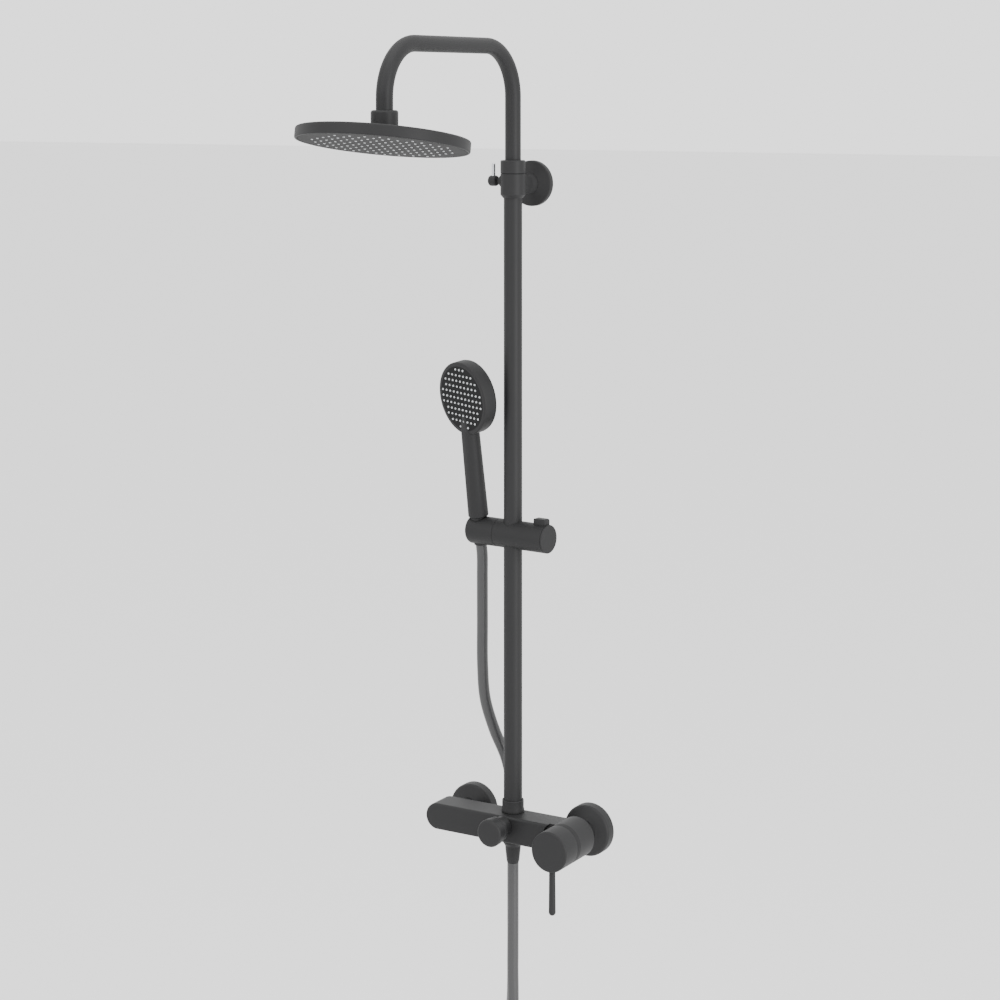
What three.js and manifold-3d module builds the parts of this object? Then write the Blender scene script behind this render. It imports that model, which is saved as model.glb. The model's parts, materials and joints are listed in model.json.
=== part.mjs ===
// Rainfall shower column: exposed bar mixer, telescopic riser with overhead shower,
// sliding holder with handset, and the hose that joins handset and mixer.
// Millimetres. +Z up, the wall is the plane y = 0, the user stands on the -Y side.
// The origin is on the wall, midway between the two water inlets.
import * as THREE from 'three';
import { mergeVertices } from 'three/addons/utils/BufferGeometryUtils.js';
import Module from 'manifold-3d';

const wasm = await Module();
wasm.setup();

// ---------------------------------------------------------------- driving sizes
const gap = 0.3;                    // air left between touching pieces
const inletSpacing = 160;           // between the two wall inlets
const columnOffset = 48.5;          // wall to the column's axis
const bracketHeight = 765;          // upper wall bracket above the inlets
const riserRise = 164;              // bracket to the riser's level arm
const riserOverlap = 295;           // riser tube left inside the lower tube
const armReach = 273.5;             // column axis to the overhead shower's axis
const bendRadius = 60;              // both bends of the riser

const lowerTubeRadius = 11;
const tubeWall = 1.2;
const riserRadius = lowerTubeRadius - tubeWall - gap;
const armHeight = bracketHeight + riserRise;
const riserFootHeight = bracketHeight - riserOverlap;

const flangeRadius = 30;            // inlet rosettes
const flangeDepth = 20;
const tailRadius = 10.3;            // half-inch wall thread
const tailLength = 20;
const unionRadius = 13;             // three-quarter-inch union thread
const unionNutRadius = unionRadius + 4;
const waterwayRadius = 7;

const bodyBack = 36;                // wall to the back of the mixer body
const bodyThickness = 36;
const bodyFront = bodyBack + bodyThickness;
const bodyHeight = 31;
const bodyMid = 4.5;                // middle of the body above the inlets
const bodyOverhang = 28.5;          // body past the left inlet's axis
const bodyLeft = -inletSpacing / 2 - bodyOverhang;
const bodyEdge = 2.5;               // rounding of the body's front and back edges
const housingRadius = 23.3;         // cartridge housing and lever cap
const pivotDepth = bodyFront - 6;   // wall to the lever's tilt axis
const cartridgeRadius = 17.5;
const cartridgeBack = bodyBack + 10;
const capFront = pivotDepth + 37.7;
const capWall = 1.5;
const coverGap = 0.45;              // cap skirt over the cartridge cover
const shoulderRise = 3.3;           // tilt axis to the front of the cartridge housing
const leverLift = 20;               // degrees the lever lifts
const leverRadius = 3.7;
const leverTipRadius = 4.1;
const leverLength = 75;             // cap axis to the lever's tip

const diverterHeight = 8.5;
const diverterBoreRadius = 9;
const diverterKnobRadius = 16;
const diverterKnobBack = bodyFront + 13;
const diverterKnobLength = 21;
const diverterKnobFront = diverterKnobBack + diverterKnobLength;

const collarNutRadius = lowerTubeRadius + 1.9;
const collarNutHeight = 14.5;
const hoseRadius = 6.75;
const hoseNutLength = 29;

const sleeveRadius = lowerTubeRadius + 4;
const sleeveBottom = bracketHeight - 16;
const sleeveSeam = bracketHeight + 13;
const sleeveTop = bracketHeight + 29;
const plateRadius = 27.6;
const plateDepth = 11;
const neckRadius = 9.5;
const lockHeight = bracketHeight + 4;
const lockBulbRadius = 6.4;
const lockBulbCentre = sleeveRadius + 12;
const lockPinRadius = 2.2;
const lockPinLength = 18;

const headRadius = 96;
const headRim = 13.7;               // height of the overhead shower's rim
const headTilt = 9.3;               // degrees, face turned towards the user
const ballRadius = riserRadius;
const ballDrop = ballRadius + 4;    // collar top to the ball's centre
const collarRadius = ballRadius + 5.65;
const collarHeight = ballDrop + 6.5;
const collarDrop = 73.5;            // the riser's level arm to the collar's top
const collarTop = armHeight - collarDrop;
const ballToTop = ballRadius + 2.7; // ball centre to the top of the overhead shower

const sliderHeight = 349;
const sliderSwivel = -5;            // degrees about the column
const sliderRadius = lowerTubeRadius + 5.75;
const sliderRight = 50;
const sliderCapThickness = 2;
const sliderSplit = -lowerTubeRadius - 9; // where the turning cradle meets the slider
const cradleBore = -49;             // column axis to the handset's axis, along the slider
const cradleLeft = cradleBore - 12;
const releaseLength = 16.5;
const releaseWidth = 10;
const releaseRise = 6.5;

const handsetLean = 9;              // degrees towards the user
const handsetTurn = -15;            // degrees about its own axis
const handleBase = sliderRadius + 0.5;
const handleBaseRadius = 12.25;
const handleTopRadius = 11;
const handsetReach = 164;           // cradle centre to the middle of the spray face
const handsetRadius = 44;
const handsetFront = 8;             // handle axis to the spray face
const handsetBackDepth = 13.5;      // handle axis to the back of the head
const coneTopRadius = 9.6;
const coneBottomRadius = 8.4;

// ---------------------------------------------------------------- materials
const blackMetal = { color: 0x2c2c2e, roughness: 0.5, metalness: 0.35 };
const blackPlastic = { color: 0x29292b, roughness: 0.55, metalness: 0 };
const blackHose = { color: 0x38383a, roughness: 0.42, metalness: 0 };
const chrome = { color: 0xc9ccd0, roughness: 0.12, metalness: 1 };
const brass = { color: 0xb8975a, roughness: 0.35, metalness: 1 };
const steel = { color: 0x9fa3a8, roughness: 0.3, metalness: 1 };
const rubber = { color: 0x1b1b1c, roughness: 0.85, metalness: 0 };
const paleRubber = { color: 0x8f9194, roughness: 0.7, metalness: 0 };
const whitePlastic = { color: 0xd9d8d2, roughness: 0.5, metalness: 0 };

// ---------------------------------------------------------------- helpers
const rad = THREE.MathUtils.degToRad;

function piece(name, geometry, material) {
  const mesh = new THREE.Mesh(geometry, new THREE.MeshStandardMaterial(material));
  mesh.name = name;
  return mesh;
}

function moved(object, x, y, z) {
  object.position.set(x, y, z);
  return object;
}

function signedVolume(positions, index) {
  const [a, b, c] = [new THREE.Vector3(), new THREE.Vector3(), new THREE.Vector3()];
  let volume = 0;
  for (let i = 0; i < index.length; i += 3) {
    a.fromArray(positions, 3 * index[i]);
    b.fromArray(positions, 3 * index[i + 1]);
    c.fromArray(positions, 3 * index[i + 2]);
    volume += a.dot(b.cross(c)) / 6;
  }
  return volume;
}

// A closed geometry as a manifold solid, with shared vertices and outward faces.
function solid(geometry) {
  const bare = geometry.clone();
  bare.deleteAttribute('normal');
  bare.deleteAttribute('uv');
  const merged = mergeVertices(bare, 1e-4);
  const source = merged.index.array;
  const kept = [];
  for (let i = 0; i < source.length; i += 3) {
    const [a, b, c] = [source[i], source[i + 1], source[i + 2]];
    if (a !== b && b !== c && c !== a) kept.push(a, b, c);
  }
  const positions = merged.attributes.position.array;
  if (signedVolume(positions, kept) < 0) kept.reverse();
  return new wasm.Manifold(new wasm.Mesh({
    numProp: 3,
    vertProperties: Float32Array.from(positions),
    triVerts: Uint32Array.from(kept),
  }));
}

function shown(manifold) {
  const mesh = manifold.getMesh();
  const geometry = new THREE.BufferGeometry();
  geometry.setAttribute('position', new THREE.BufferAttribute(mesh.vertProperties, 3));
  geometry.setIndex(new THREE.BufferAttribute(mesh.triVerts, 1));
  geometry.computeVertexNormals();
  return geometry;
}

function cut(base, ...tools) {
  return shown(tools.reduce((left, tool) => left.subtract(solid(tool)), base));
}

// A turned piece: pairs of [radius, distance along the axis], first and last on the axis.
function turned(profile, axis = 'up', sides = 18) {
  const points = profile.map(([r, d]) => new THREE.Vector2(r, d));
  const geometry = new THREE.LatheGeometry(points, sides);
  geometry.rotateX(Math.PI / 2);
  if (axis === 'out') geometry.rotateX(Math.PI / 2);
  if (axis === 'right') geometry.rotateY(Math.PI / 2);
  return shown(solid(geometry));
}

// A turned ring or pipe: the profile closes on itself.
function ring(profile, axis = 'up', sides = 18) {
  return turned([...profile, profile[0]], axis, sides);
}

function pipe(inner, outer, from, to, axis = 'up', sides = 18) {
  return ring([[inner, from], [outer, from], [outer, to], [inner, to]], axis, sides);
}

function rod(radius, from, to, axis = 'up', sides = 16) {
  return turned([[0, from], [radius, from], [radius, to], [0, to]], axis, sides);
}

// Points of an arc in profile coordinates, angles in degrees.
function arc(r, d, radius, from, to, steps) {
  return Array.from({ length: steps + 1 }, (_, i) => {
    const angle = rad(from + ((to - from) * i) / steps);
    return [r + radius * Math.cos(angle), d + radius * Math.sin(angle)];
  });
}

// A path whose steps fall on its own stations, so straight runs take one step.
class StationPath extends THREE.Curve {
  constructor(stations) {
    super();
    this.stations = stations;
  }

  getUtoTmapping(u) {
    return u;
  }

  getPoint(t, target = new THREE.Vector3()) {
    const place = t * (this.stations.length - 1);
    const i = Math.min(Math.floor(place), this.stations.length - 2);
    return target.lerpVectors(this.stations[i], this.stations[i + 1], place - i);
  }
}

function circle(radius) {
  return new THREE.Shape().absarc(0, 0, radius, 0, 2 * Math.PI, false);
}

function sweep(path, steps, radius, sides, bore = 0) {
  const section = circle(radius);
  if (bore > 0) section.holes.push(new THREE.Path().absarc(0, 0, bore, 0, 2 * Math.PI, true));
  return new THREE.ExtrudeGeometry(section, { extrudePath: path, steps, curveSegments: sides });
}

// ---------------------------------------------------------------- wall inlets
function inletSide(side) {
  const inlet = new THREE.Group();
  const rosetteEdge = 4;
  const backRimInner = flangeRadius - 6;
  const rosette = ring([
    [backRimInner, 0],
    [flangeRadius, 0],
    ...arc(flangeRadius - rosetteEdge, flangeDepth - 9, rosetteEdge, 0, 70, 3),
    [unionRadius + 5, flangeDepth - 2],
    [unionRadius + 2, flangeDepth],
    [unionRadius + gap, flangeDepth],
    [unionRadius + gap, flangeDepth - 7],
    [backRimInner, flangeDepth - 12],
  ], 'out', 24);
  const union = ring([
    [waterwayRadius, -tailLength],
    [tailRadius, -tailLength],
    [tailRadius, 0],
    [unionRadius, 2],
    [unionRadius, bodyBack - gap],
    [waterwayRadius, bodyBack - gap],
  ], 'out', 20);
  const nutFace = flangeDepth + gap;
  const nutBlank = turned([
    [0, nutFace],
    [unionNutRadius - 1, nutFace],
    [unionNutRadius, nutFace + 1],
    [unionNutRadius, bodyBack - gap - 1],
    [unionNutRadius - 1, bodyBack - gap],
    [0, bodyBack - gap],
  ], 'out', 6);
  const nut = cut(solid(nutBlank), rod(unionRadius + gap, 0, bodyBack, 'out', 24));
  const washer = pipe(waterwayRadius, unionRadius - 2, bodyBack, bodyBack + 2 - gap, 'out', 24);
  inlet.add(
    piece(`${side}_wall_flange`, rosette, blackMetal),
    piece(`${side}_wall_union`, union, brass),
    piece(`${side}_union_nut`, nut, blackMetal),
    piece(`${side}_inlet_washer`, washer, rubber),
  );
  return moved(inlet, (side === 'left' ? -0.5 : 0.5) * inletSpacing, 0, 0);
}

// ---------------------------------------------------------------- mixer body
const leverX = inletSpacing / 2;
const skirtInner = housingRadius - capWall;
const shoulderDepth = pivotDepth + shoulderRise;
const coverSphere = Math.hypot(housingRadius, shoulderRise);
const skirtToPivot = Math.sqrt((coverSphere + coverGap) ** 2 - skirtInner ** 2);
const capBack = pivotDepth + skirtToPivot;
const bodyTop = bodyMid + bodyHeight / 2;
const bodyBottom = bodyMid - bodyHeight / 2;

function mixerBody() {
  const half = bodyHeight / 2 - bodyEdge;
  const outline = new THREE.Shape();
  outline.moveTo(leverX, -half);
  outline.lineTo(leverX, half);
  outline.absarc(bodyLeft + bodyHeight / 2, 0, half, Math.PI / 2, 1.5 * Math.PI, false);
  outline.closePath();
  const bar = new THREE.ExtrudeGeometry(outline, {
    depth: bodyFront - bodyBack - 2 * bodyEdge,
    curveSegments: 10,
    bevelThickness: bodyEdge,
    bevelSize: bodyEdge,
    bevelSegments: 2,
  });
  bar.rotateX(Math.PI / 2);
  bar.translate(0, -bodyBack - bodyEdge, bodyMid);
  // The bar's front is relieved round the cap, whose skirt swings back as the lever lifts.
  const [swingUp, swingBack] = [Math.cos(rad(leverLift)), Math.sin(rad(leverLift))];
  const capAtFront = (bodyFront - pivotDepth + housingRadius * swingBack) / swingUp;
  const reliefRadius = housingRadius * swingUp + capAtFront * swingBack + 0.7;
  const reliefFloor = pivotDepth + skirtToPivot * swingUp - housingRadius * swingBack - 0.9;
  const relief = rod(reliefRadius, reliefFloor, capFront, 'out', 28);
  relief.translate(leverX, 0, 0);
  const housing = rod(housingRadius, bodyBack, shoulderDepth, 'out', 24);
  housing.translate(leverX, 0, 0);

  const cartridgeBay = rod(cartridgeRadius + gap, cartridgeBack, capFront, 'out', 24);
  cartridgeBay.translate(leverX, 0, 0);
  const rightPort = rod(waterwayRadius, 0, cartridgeBack + 1, 'out', 20);
  rightPort.translate(leverX, 0, 0);
  const rightSeat = rod(unionRadius - 1, 0, bodyBack + 2, 'out', 24);
  rightSeat.translate(leverX, 0, 0);
  const leftPort = rod(waterwayRadius, 0, columnOffset + waterwayRadius, 'out', 20);
  leftPort.translate(-leverX, 0, 0);
  const leftSeat = rightSeat.clone();
  leftSeat.translate(-2 * leverX, 0, 0);
  const gallery = rod(waterwayRadius - 2, -leverX, leverX - cartridgeRadius + 2, 'right', 16);
  gallery.translate(0, -columnOffset - waterwayRadius + 3, 0);
  const upDown = rod(waterwayRadius + 1, bodyBottom - 1, bodyTop + 1, 'up', 24);
  upDown.translate(0, -columnOffset, 0);
  const diverterBay = rod(diverterBoreRadius, columnOffset, bodyFront + 1, 'out', 24);
  diverterBay.translate(0, 0, diverterHeight);
  return cut(
    solid(bar).subtract(solid(relief)).add(solid(housing)),
    cartridgeBay, rightPort, rightSeat, leftPort, leftSeat, gallery, upDown, diverterBay,
  );
}

// ---------------------------------------------------------------- lever and cartridge
function cartridgeSet() {
  const set = new THREE.Group();
  const carrierBack = pivotDepth - 8;
  const stemRadius = 4;
  const coverFront = pivotDepth + 14.5;
  const nutFace = pivotDepth + 0.5;
  const swing = stemRadius + 6;

  const cartridge = ring([
    [0.1, cartridgeBack + gap],
    [cartridgeRadius, cartridgeBack + gap],
    [cartridgeRadius, pivotDepth - 2],
    [14.4, pivotDepth - 2],
    [14.4, carrierBack - gap],
    [0.1, carrierBack - gap],
  ], 'out', 28);
  const carrier = ring([
    [1.5, carrierBack],
    [13.8, carrierBack],
    [13.8, pivotDepth - 3],
    [6.5, pivotDepth - 3],
    [6.5, carrierBack + 1.5],
    [1.5, carrierBack + 1.5],
  ], 'out', 24);
  const nut = pipe(swing + 1, cartridgeRadius, pivotDepth - 2 + gap, nutFace, 'out', 28);
  // The cover's dome is part of a sphere about the lever's tilt axis.
  const coverAngle = (distance) => THREE.MathUtils.radToDeg(Math.asin((distance - pivotDepth) / coverSphere));
  const cover = ring([
    [cartridgeRadius - 3, nutFace + gap],
    [cartridgeRadius, nutFace + gap],
    [cartridgeRadius, shoulderDepth + gap],
    ...arc(0, pivotDepth, coverSphere, coverAngle(shoulderDepth + gap), coverAngle(coverFront), 5),
    [swing + 1, coverFront],
    [swing + 1, coverFront - 3],
    [cartridgeRadius - 3, coverFront - 6],
  ], 'out', 24);
  const stem = turned([
    [0, pivotDepth - 5],
    ...arc(0, pivotDepth, 5, -75, 30, 3),
    [stemRadius, pivotDepth + 4],
    [stemRadius, capFront - 5],
    [0, capFront - 5],
  ], 'out', 20);

  const bossRadius = 8;
  const bossBack = capFront - 17;
  const capShell = turned([
    [0, capFront],
    [housingRadius - 2.5, capFront - 0.4],
    ...arc(housingRadius - 2, capFront - 2.4, 2, 80, 0, 2),
    [housingRadius, capBack],
    [skirtInner, capBack],
    [skirtInner - 1, coverFront + 3],
    [skirtInner - 2, capFront - 3.4],
    [bossRadius, capFront - 3.4],
    [bossRadius, bossBack],
    [stemRadius + gap, bossBack],
    [stemRadius + gap, capFront - 4.6],
    [0, capFront - 4.6],
  ], 'out', 28);
  const pinDepth = capFront - 9;
  const pinHole = rod(leverRadius + gap, -housingRadius - 1, -bossRadius + 1, 'up', 20);
  pinHole.translate(0, -pinDepth, 0);
  const pinLand = rod(leverRadius + 2.4, -housingRadius + 1, -bossRadius + 1, 'up', 20);
  pinLand.translate(0, -pinDepth, 0);
  const screwHole = rod(2.3, 0, bossRadius + 1, 'up', 12);
  screwHole.translate(0, -pinDepth, 0);
  const cap = cut(solid(capShell).add(solid(pinLand)), pinHole, screwHole);
  const leverTip = -leverLength;
  const pin = turned([
    [0, -bossRadius + 0.5],
    [leverRadius, -bossRadius + 0.5],
    [leverRadius, -housingRadius - 8],
    [leverTipRadius, leverTip + leverTipRadius],
    ...arc(0, leverTip + leverTipRadius, leverTipRadius, -15, -90, 3),
  ], 'up', 16);
  pin.translate(0, -pinDepth, 0);
  const screw = rod(2, stemRadius + gap, bossRadius, 'up', 12);
  screw.translate(0, -pinDepth, 0);

  set.add(
    piece('cartridge_body', cartridge, whitePlastic),
    piece('cartridge_carrier', carrier, whitePlastic),
    piece('cartridge_nut', nut, brass),
    piece('cartridge_cover', cover, blackMetal),
    piece('cartridge_stem', stem, steel),
    piece('lever_cap', cap, blackMetal),
    piece('lever_pin', pin, blackMetal),
    piece('lever_grub_screw', screw, steel),
  );
  return moved(set, leverX, 0, 0);
}

// ---------------------------------------------------------------- diverter
function diverterSet() {
  const set = new THREE.Group();
  const spindleRadius = 3;
  const neckFront = diverterKnobBack + 2;
  const valve = turned([
    [0, columnOffset + 2],
    [diverterBoreRadius - gap, columnOffset + 2],
    [diverterBoreRadius - gap, bodyFront - 12],
    [spindleRadius, bodyFront - 10],
    [spindleRadius, diverterKnobFront - 5],
    [0, diverterKnobFront - 5],
  ], 'out', 24);
  const bonnet = ring([
    [spindleRadius + gap, bodyFront - 8],
    [diverterBoreRadius - gap, bodyFront - 8],
    [diverterBoreRadius - gap, bodyFront + gap],
    [diverterBoreRadius + 3, bodyFront + gap],
    [diverterBoreRadius + 2, neckFront],
    [spindleRadius + gap, neckFront],
  ], 'out', 24);
  const dome = 3.5;
  const knobShell = turned([
    [0, diverterKnobFront],
    [diverterKnobRadius - dome - 1, diverterKnobFront - 0.6],
    ...arc(diverterKnobRadius - dome, diverterKnobFront - 0.7 - dome, dome, 75, 0, 3),
    [diverterKnobRadius - 0.3, diverterKnobBack + 9],
    [diverterKnobRadius - 1.6, diverterKnobBack + 7.5],
    [diverterKnobRadius - 1.6, diverterKnobBack + 6],
    [diverterKnobRadius - 0.9, diverterKnobBack + 4.5],
    [diverterKnobRadius - 1.4, diverterKnobBack],
    [diverterBoreRadius + 4, diverterKnobBack],
    [diverterBoreRadius + 4, neckFront + 1],
    [spindleRadius + gap, neckFront + 1],
    [spindleRadius + gap, diverterKnobFront - 4.6],
    [0, diverterKnobFront - 4.6],
  ], 'out', 24);
  set.add(
    piece('diverter_spindle', valve, brass),
    piece('diverter_bonnet', bonnet, blackMetal),
    piece('diverter_knob', knobShell, blackMetal),
  );
  return moved(set, 0, 0, diverterHeight);
}

// ---------------------------------------------------------------- column
const tubeFoot = bodyTop + gap;
const riserBore = riserRadius - tubeWall;
const legDepth = columnOffset + armReach;
const ballHeight = collarTop - ballDrop;
const riserEnd = ballHeight + ballRadius + 1;

function riserTube() {
  const bend = (centreY, from, to) => Array.from({ length: 10 }, (_, i) => {
    const angle = rad(from + ((to - from) * i) / 9);
    const z = armHeight - bendRadius + bendRadius * Math.sin(angle);
    return new THREE.Vector3(0, centreY + bendRadius * Math.cos(angle), z);
  });
  const stations = [
    new THREE.Vector3(0, -columnOffset, riserFootHeight),
    ...bend(-columnOffset - bendRadius, 0, 90),
    ...bend(-legDepth + bendRadius, 90, 180),
    new THREE.Vector3(0, -legDepth, riserEnd),
  ];
  return sweep(new StationPath(stations), stations.length - 1, riserRadius, 9, riserBore);
}

function columnSet() {
  const set = new THREE.Group();
  const collarNut = ring([
    [lowerTubeRadius + gap, bodyTop + gap],
    [collarNutRadius + 0.6, bodyTop + gap],
    [collarNutRadius + 0.6, bodyTop + 3],
    [collarNutRadius, bodyTop + 4.5],
    [collarNutRadius, bodyTop + collarNutHeight - 0.6],
    [collarNutRadius - 0.6, bodyTop + collarNutHeight],
    [lowerTubeRadius + gap, bodyTop + collarNutHeight],
  ], 'up', 24);
  const lowerTube = pipe(lowerTubeRadius - tubeWall, lowerTubeRadius, tubeFoot, sleeveSeam - gap, 'up', 24);
  const foot = pipe(riserBore - 2, riserRadius, riserFootHeight - 12, riserFootHeight - gap, 'up', 32);
  const seal = pipe(riserRadius + gap, lowerTubeRadius + 1, sleeveSeam + gap, sleeveSeam + 3, 'up', 32);

  const sleeve = ring([
    [lowerTubeRadius + gap, sleeveBottom],
    [sleeveRadius - 3.2, sleeveBottom],
    [sleeveRadius, sleeveBottom + 4],
    [sleeveRadius, sleeveSeam - 0.4],
    [sleeveRadius - 0.4, sleeveSeam],
    [lowerTubeRadius + gap, sleeveSeam],
  ], 'up', 24);
  const neckFace = plateDepth + gap;
  const neckStart = columnOffset - lowerTubeRadius - 1.5;
  const neck = turned([
    [0, 5],
    [neckRadius, 5],
    [neckRadius, neckFace],
    [neckRadius + 3.3, neckFace],
    [neckRadius + 3.1, neckFace + 1.5],
    [neckRadius + 0.8, neckFace + 5],
    [neckRadius, neckFace + 9],
    [neckRadius, neckStart],
    [0, neckStart],
  ], 'out', 28);
  neck.translate(0, columnOffset, bracketHeight);
  const boss = turned([
    [0, lowerTubeRadius + 1.5],
    [8.2, lowerTubeRadius + 1.5],
    [8.2, sleeveRadius - 0.6],
    [4.4, sleeveRadius + 4],
    [0, sleeveRadius + 4],
  ], 'right', 18);
  boss.rotateZ(Math.PI);
  boss.translate(0, 0, lockHeight);
  const screwRadius = 2.6;
  const screwHole = rod(screwRadius + gap, -sleeveRadius - 6, -lowerTubeRadius, 'right', 16);
  screwHole.translate(0, 0, lockHeight);
  const studHole = rod(3 + gap, 0, 22, 'out', 16);
  studHole.translate(0, columnOffset, bracketHeight);
  const clamp = cut(solid(sleeve).add(solid(neck)).add(solid(boss)), screwHole, studHole);

  const topRing = ring([
    [riserRadius + gap, sleeveSeam + 3 + gap],
    [lowerTubeRadius + 1 + gap, sleeveSeam + 3 + gap],
    [lowerTubeRadius + 1 + gap, sleeveSeam + gap],
    [sleeveRadius - 0.4, sleeveSeam + gap],
    [sleeveRadius, sleeveSeam + 0.7],
    [sleeveRadius, sleeveTop - 1.2],
    [sleeveRadius - 1.2, sleeveTop],
    [riserRadius + gap, sleeveTop],
  ], 'up', 24);

  const bulb = turned([
    [0, lowerTubeRadius + 0.5],
    [screwRadius, lowerTubeRadius + 0.5],
    [screwRadius, lockBulbCentre - lockBulbRadius],
    ...arc(lockBulbRadius - 2.6, lockBulbCentre - 3, 2.6, -70, 0, 2),
    ...arc(lockBulbRadius - 3, lockBulbCentre + 2.6, 3, 0, 80, 3),
    [0, lockBulbCentre + 5.7],
  ], 'right', 18);
  bulb.rotateZ(Math.PI);
  const pinHole = rod(lockPinRadius + gap, 3, lockBulbRadius + 2, 'up', 16);
  pinHole.translate(-lockBulbCentre, 0, 0);
  const lockScrew = cut(solid(bulb), pinHole);
  const pinTop = 3 + gap + lockPinLength;
  const lockPin = turned([
    [0, 3 + gap],
    [lockPinRadius, 3 + gap],
    [lockPinRadius, pinTop - 1.2],
    [lockPinRadius - 1.2, pinTop],
    [0, pinTop],
  ], 'up', 20);
  lockPin.translate(-lockBulbCentre, 0, 0);

  set.add(
    piece('column_nut', collarNut, blackMetal),
    piece('lower_tube', lowerTube, blackMetal),
    piece('riser_foot_bush', foot, whitePlastic),
    piece('riser_seal', seal, rubber),
    piece('bracket_clamp', clamp, blackMetal),
    piece('bracket_top_ring', topRing, blackMetal),
    moved(piece('lock_screw', lockScrew, blackMetal), 0, 0, lockHeight),
    moved(piece('lock_pin', lockPin, chrome), 0, 0, lockHeight),
  );
  return moved(set, 0, -columnOffset, 0);
}

function bracketWallSet() {
  const set = new THREE.Group();
  const baseRadius = 15;
  const plate = ring([
    [plateRadius - 6, 0],
    [plateRadius, 0],
    ...arc(plateRadius - 2, plateDepth - 6, 2, 0, 75, 2),
    [neckRadius + 4.4, plateDepth - 0.6],
    [neckRadius + 3.6, plateDepth],
    [neckRadius + gap, plateDepth],
    [neckRadius + gap, plateDepth - 3.5],
    [plateRadius - 6, plateDepth - 7],
  ], 'out', 24);
  const base = pipe(3 + gap, baseRadius, 0, 4, 'out', 24);
  const stud = rod(3, -30, 20, 'out', 16);
  set.add(
    piece('bracket_wall_plate', plate, blackMetal),
    piece('bracket_base', base, steel),
    piece('bracket_stud', stud, steel),
  );
  return moved(set, 0, 0, bracketHeight);
}

// ---------------------------------------------------------------- overhead shower
function collarSet() {
  const set = new THREE.Group();
  const opening = ballRadius - 1.6;
  const socket = ballRadius + 0.35;
  const bottom = collarTop - collarHeight - ballHeight;
  const socketAngle = (r) => -THREE.MathUtils.radToDeg(Math.acos(r / socket));
  const collar = ring([
    [opening + 0.4, bottom],
    [collarRadius - 0.8, bottom],
    [collarRadius, bottom + 0.8],
    ...arc(collarRadius - 3, collarTop - 3 - ballHeight, 3, 0, 80, 3),
    [riserRadius + gap, collarTop - ballHeight],
    [riserRadius + gap, 0.5],
    ...arc(0, 0, socket, 0, socketAngle(opening), 3),
  ], 'up', 24);
  const seat = pipe(riserBore - 2, riserRadius, ballRadius + 0.2, ballRadius + 1 - gap, 'up', 28);
  set.add(
    piece('head_collar', collar, blackMetal),
    piece('head_ball_seal', seat, rubber),
  );
  return moved(set, 0, -legDepth, ballHeight);
}

function headSet() {
  const set = new THREE.Group();
  const faceDepth = ballToTop + headRim;
  const bore = 3;
  const stemRadius = 4.6;
  const bossRadius = 7.5;
  const lip = 3;
  const plateThickness = 2.5;
  const shellWall = 2.2;
  const stemAngle = -THREE.MathUtils.radToDeg(Math.acos(stemRadius / ballRadius));
  const boreAngle = THREE.MathUtils.radToDeg(Math.acos(bore / ballRadius));
  const ball = ring([
    ...arc(0, 0, ballRadius, boreAngle, stemAngle, 6),
    [stemRadius, -faceDepth + plateThickness + 5],
    [bore, -faceDepth + plateThickness + 5],
  ], 'up', 16);
  const shell = ring([
    [stemRadius + gap, -ballToTop + 1.4],
    [bossRadius - 0.6, -ballToTop + 1.4],
    [bossRadius, -ballToTop + 0.8],
    [bossRadius + 2, -ballToTop],
    [headRadius - 12, -ballToTop - 0.3],
    ...arc(headRadius - 2.4, -ballToTop - 3.2, 2.4, 80, 0, 3),
    [headRadius, -faceDepth + 1],
    [headRadius - 1, -faceDepth],
    [headRadius - lip, -faceDepth],
    [headRadius - lip, -faceDepth + plateThickness + gap],
    [headRadius - lip - 2, -faceDepth + plateThickness + gap],
    [headRadius - lip - 2, -ballToTop - shellWall - 3.5],
    [headRadius - 12, -ballToTop - shellWall],
    [stemRadius + gap, -ballToTop - shellWall],
  ], 'up', 40);
  const faceRadius = headRadius - lip - gap;
  const plate = turned([
    [0, -faceDepth + plateThickness],
    [faceRadius, -faceDepth + plateThickness],
    [faceRadius, -faceDepth + 0.4],
    [faceRadius - 0.4, -faceDepth],
    [0, -faceDepth],
  ], 'up', 40);
  const matTop = -faceDepth + plateThickness + gap + 1.8;
  const mat = rod(headRadius - lip - 6, -faceDepth + plateThickness + gap, matTop, 'up', 40);
  set.add(
    piece('head_ball', ball, brass),
    piece('head_shell', shell, blackPlastic),
    piece('head_face', plate, blackPlastic),
    piece('head_nozzle_mat', mat, paleRubber),
  );
  set.rotation.x = rad(-headTilt);
  return moved(set, 0, -legDepth, ballHeight);
}

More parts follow.
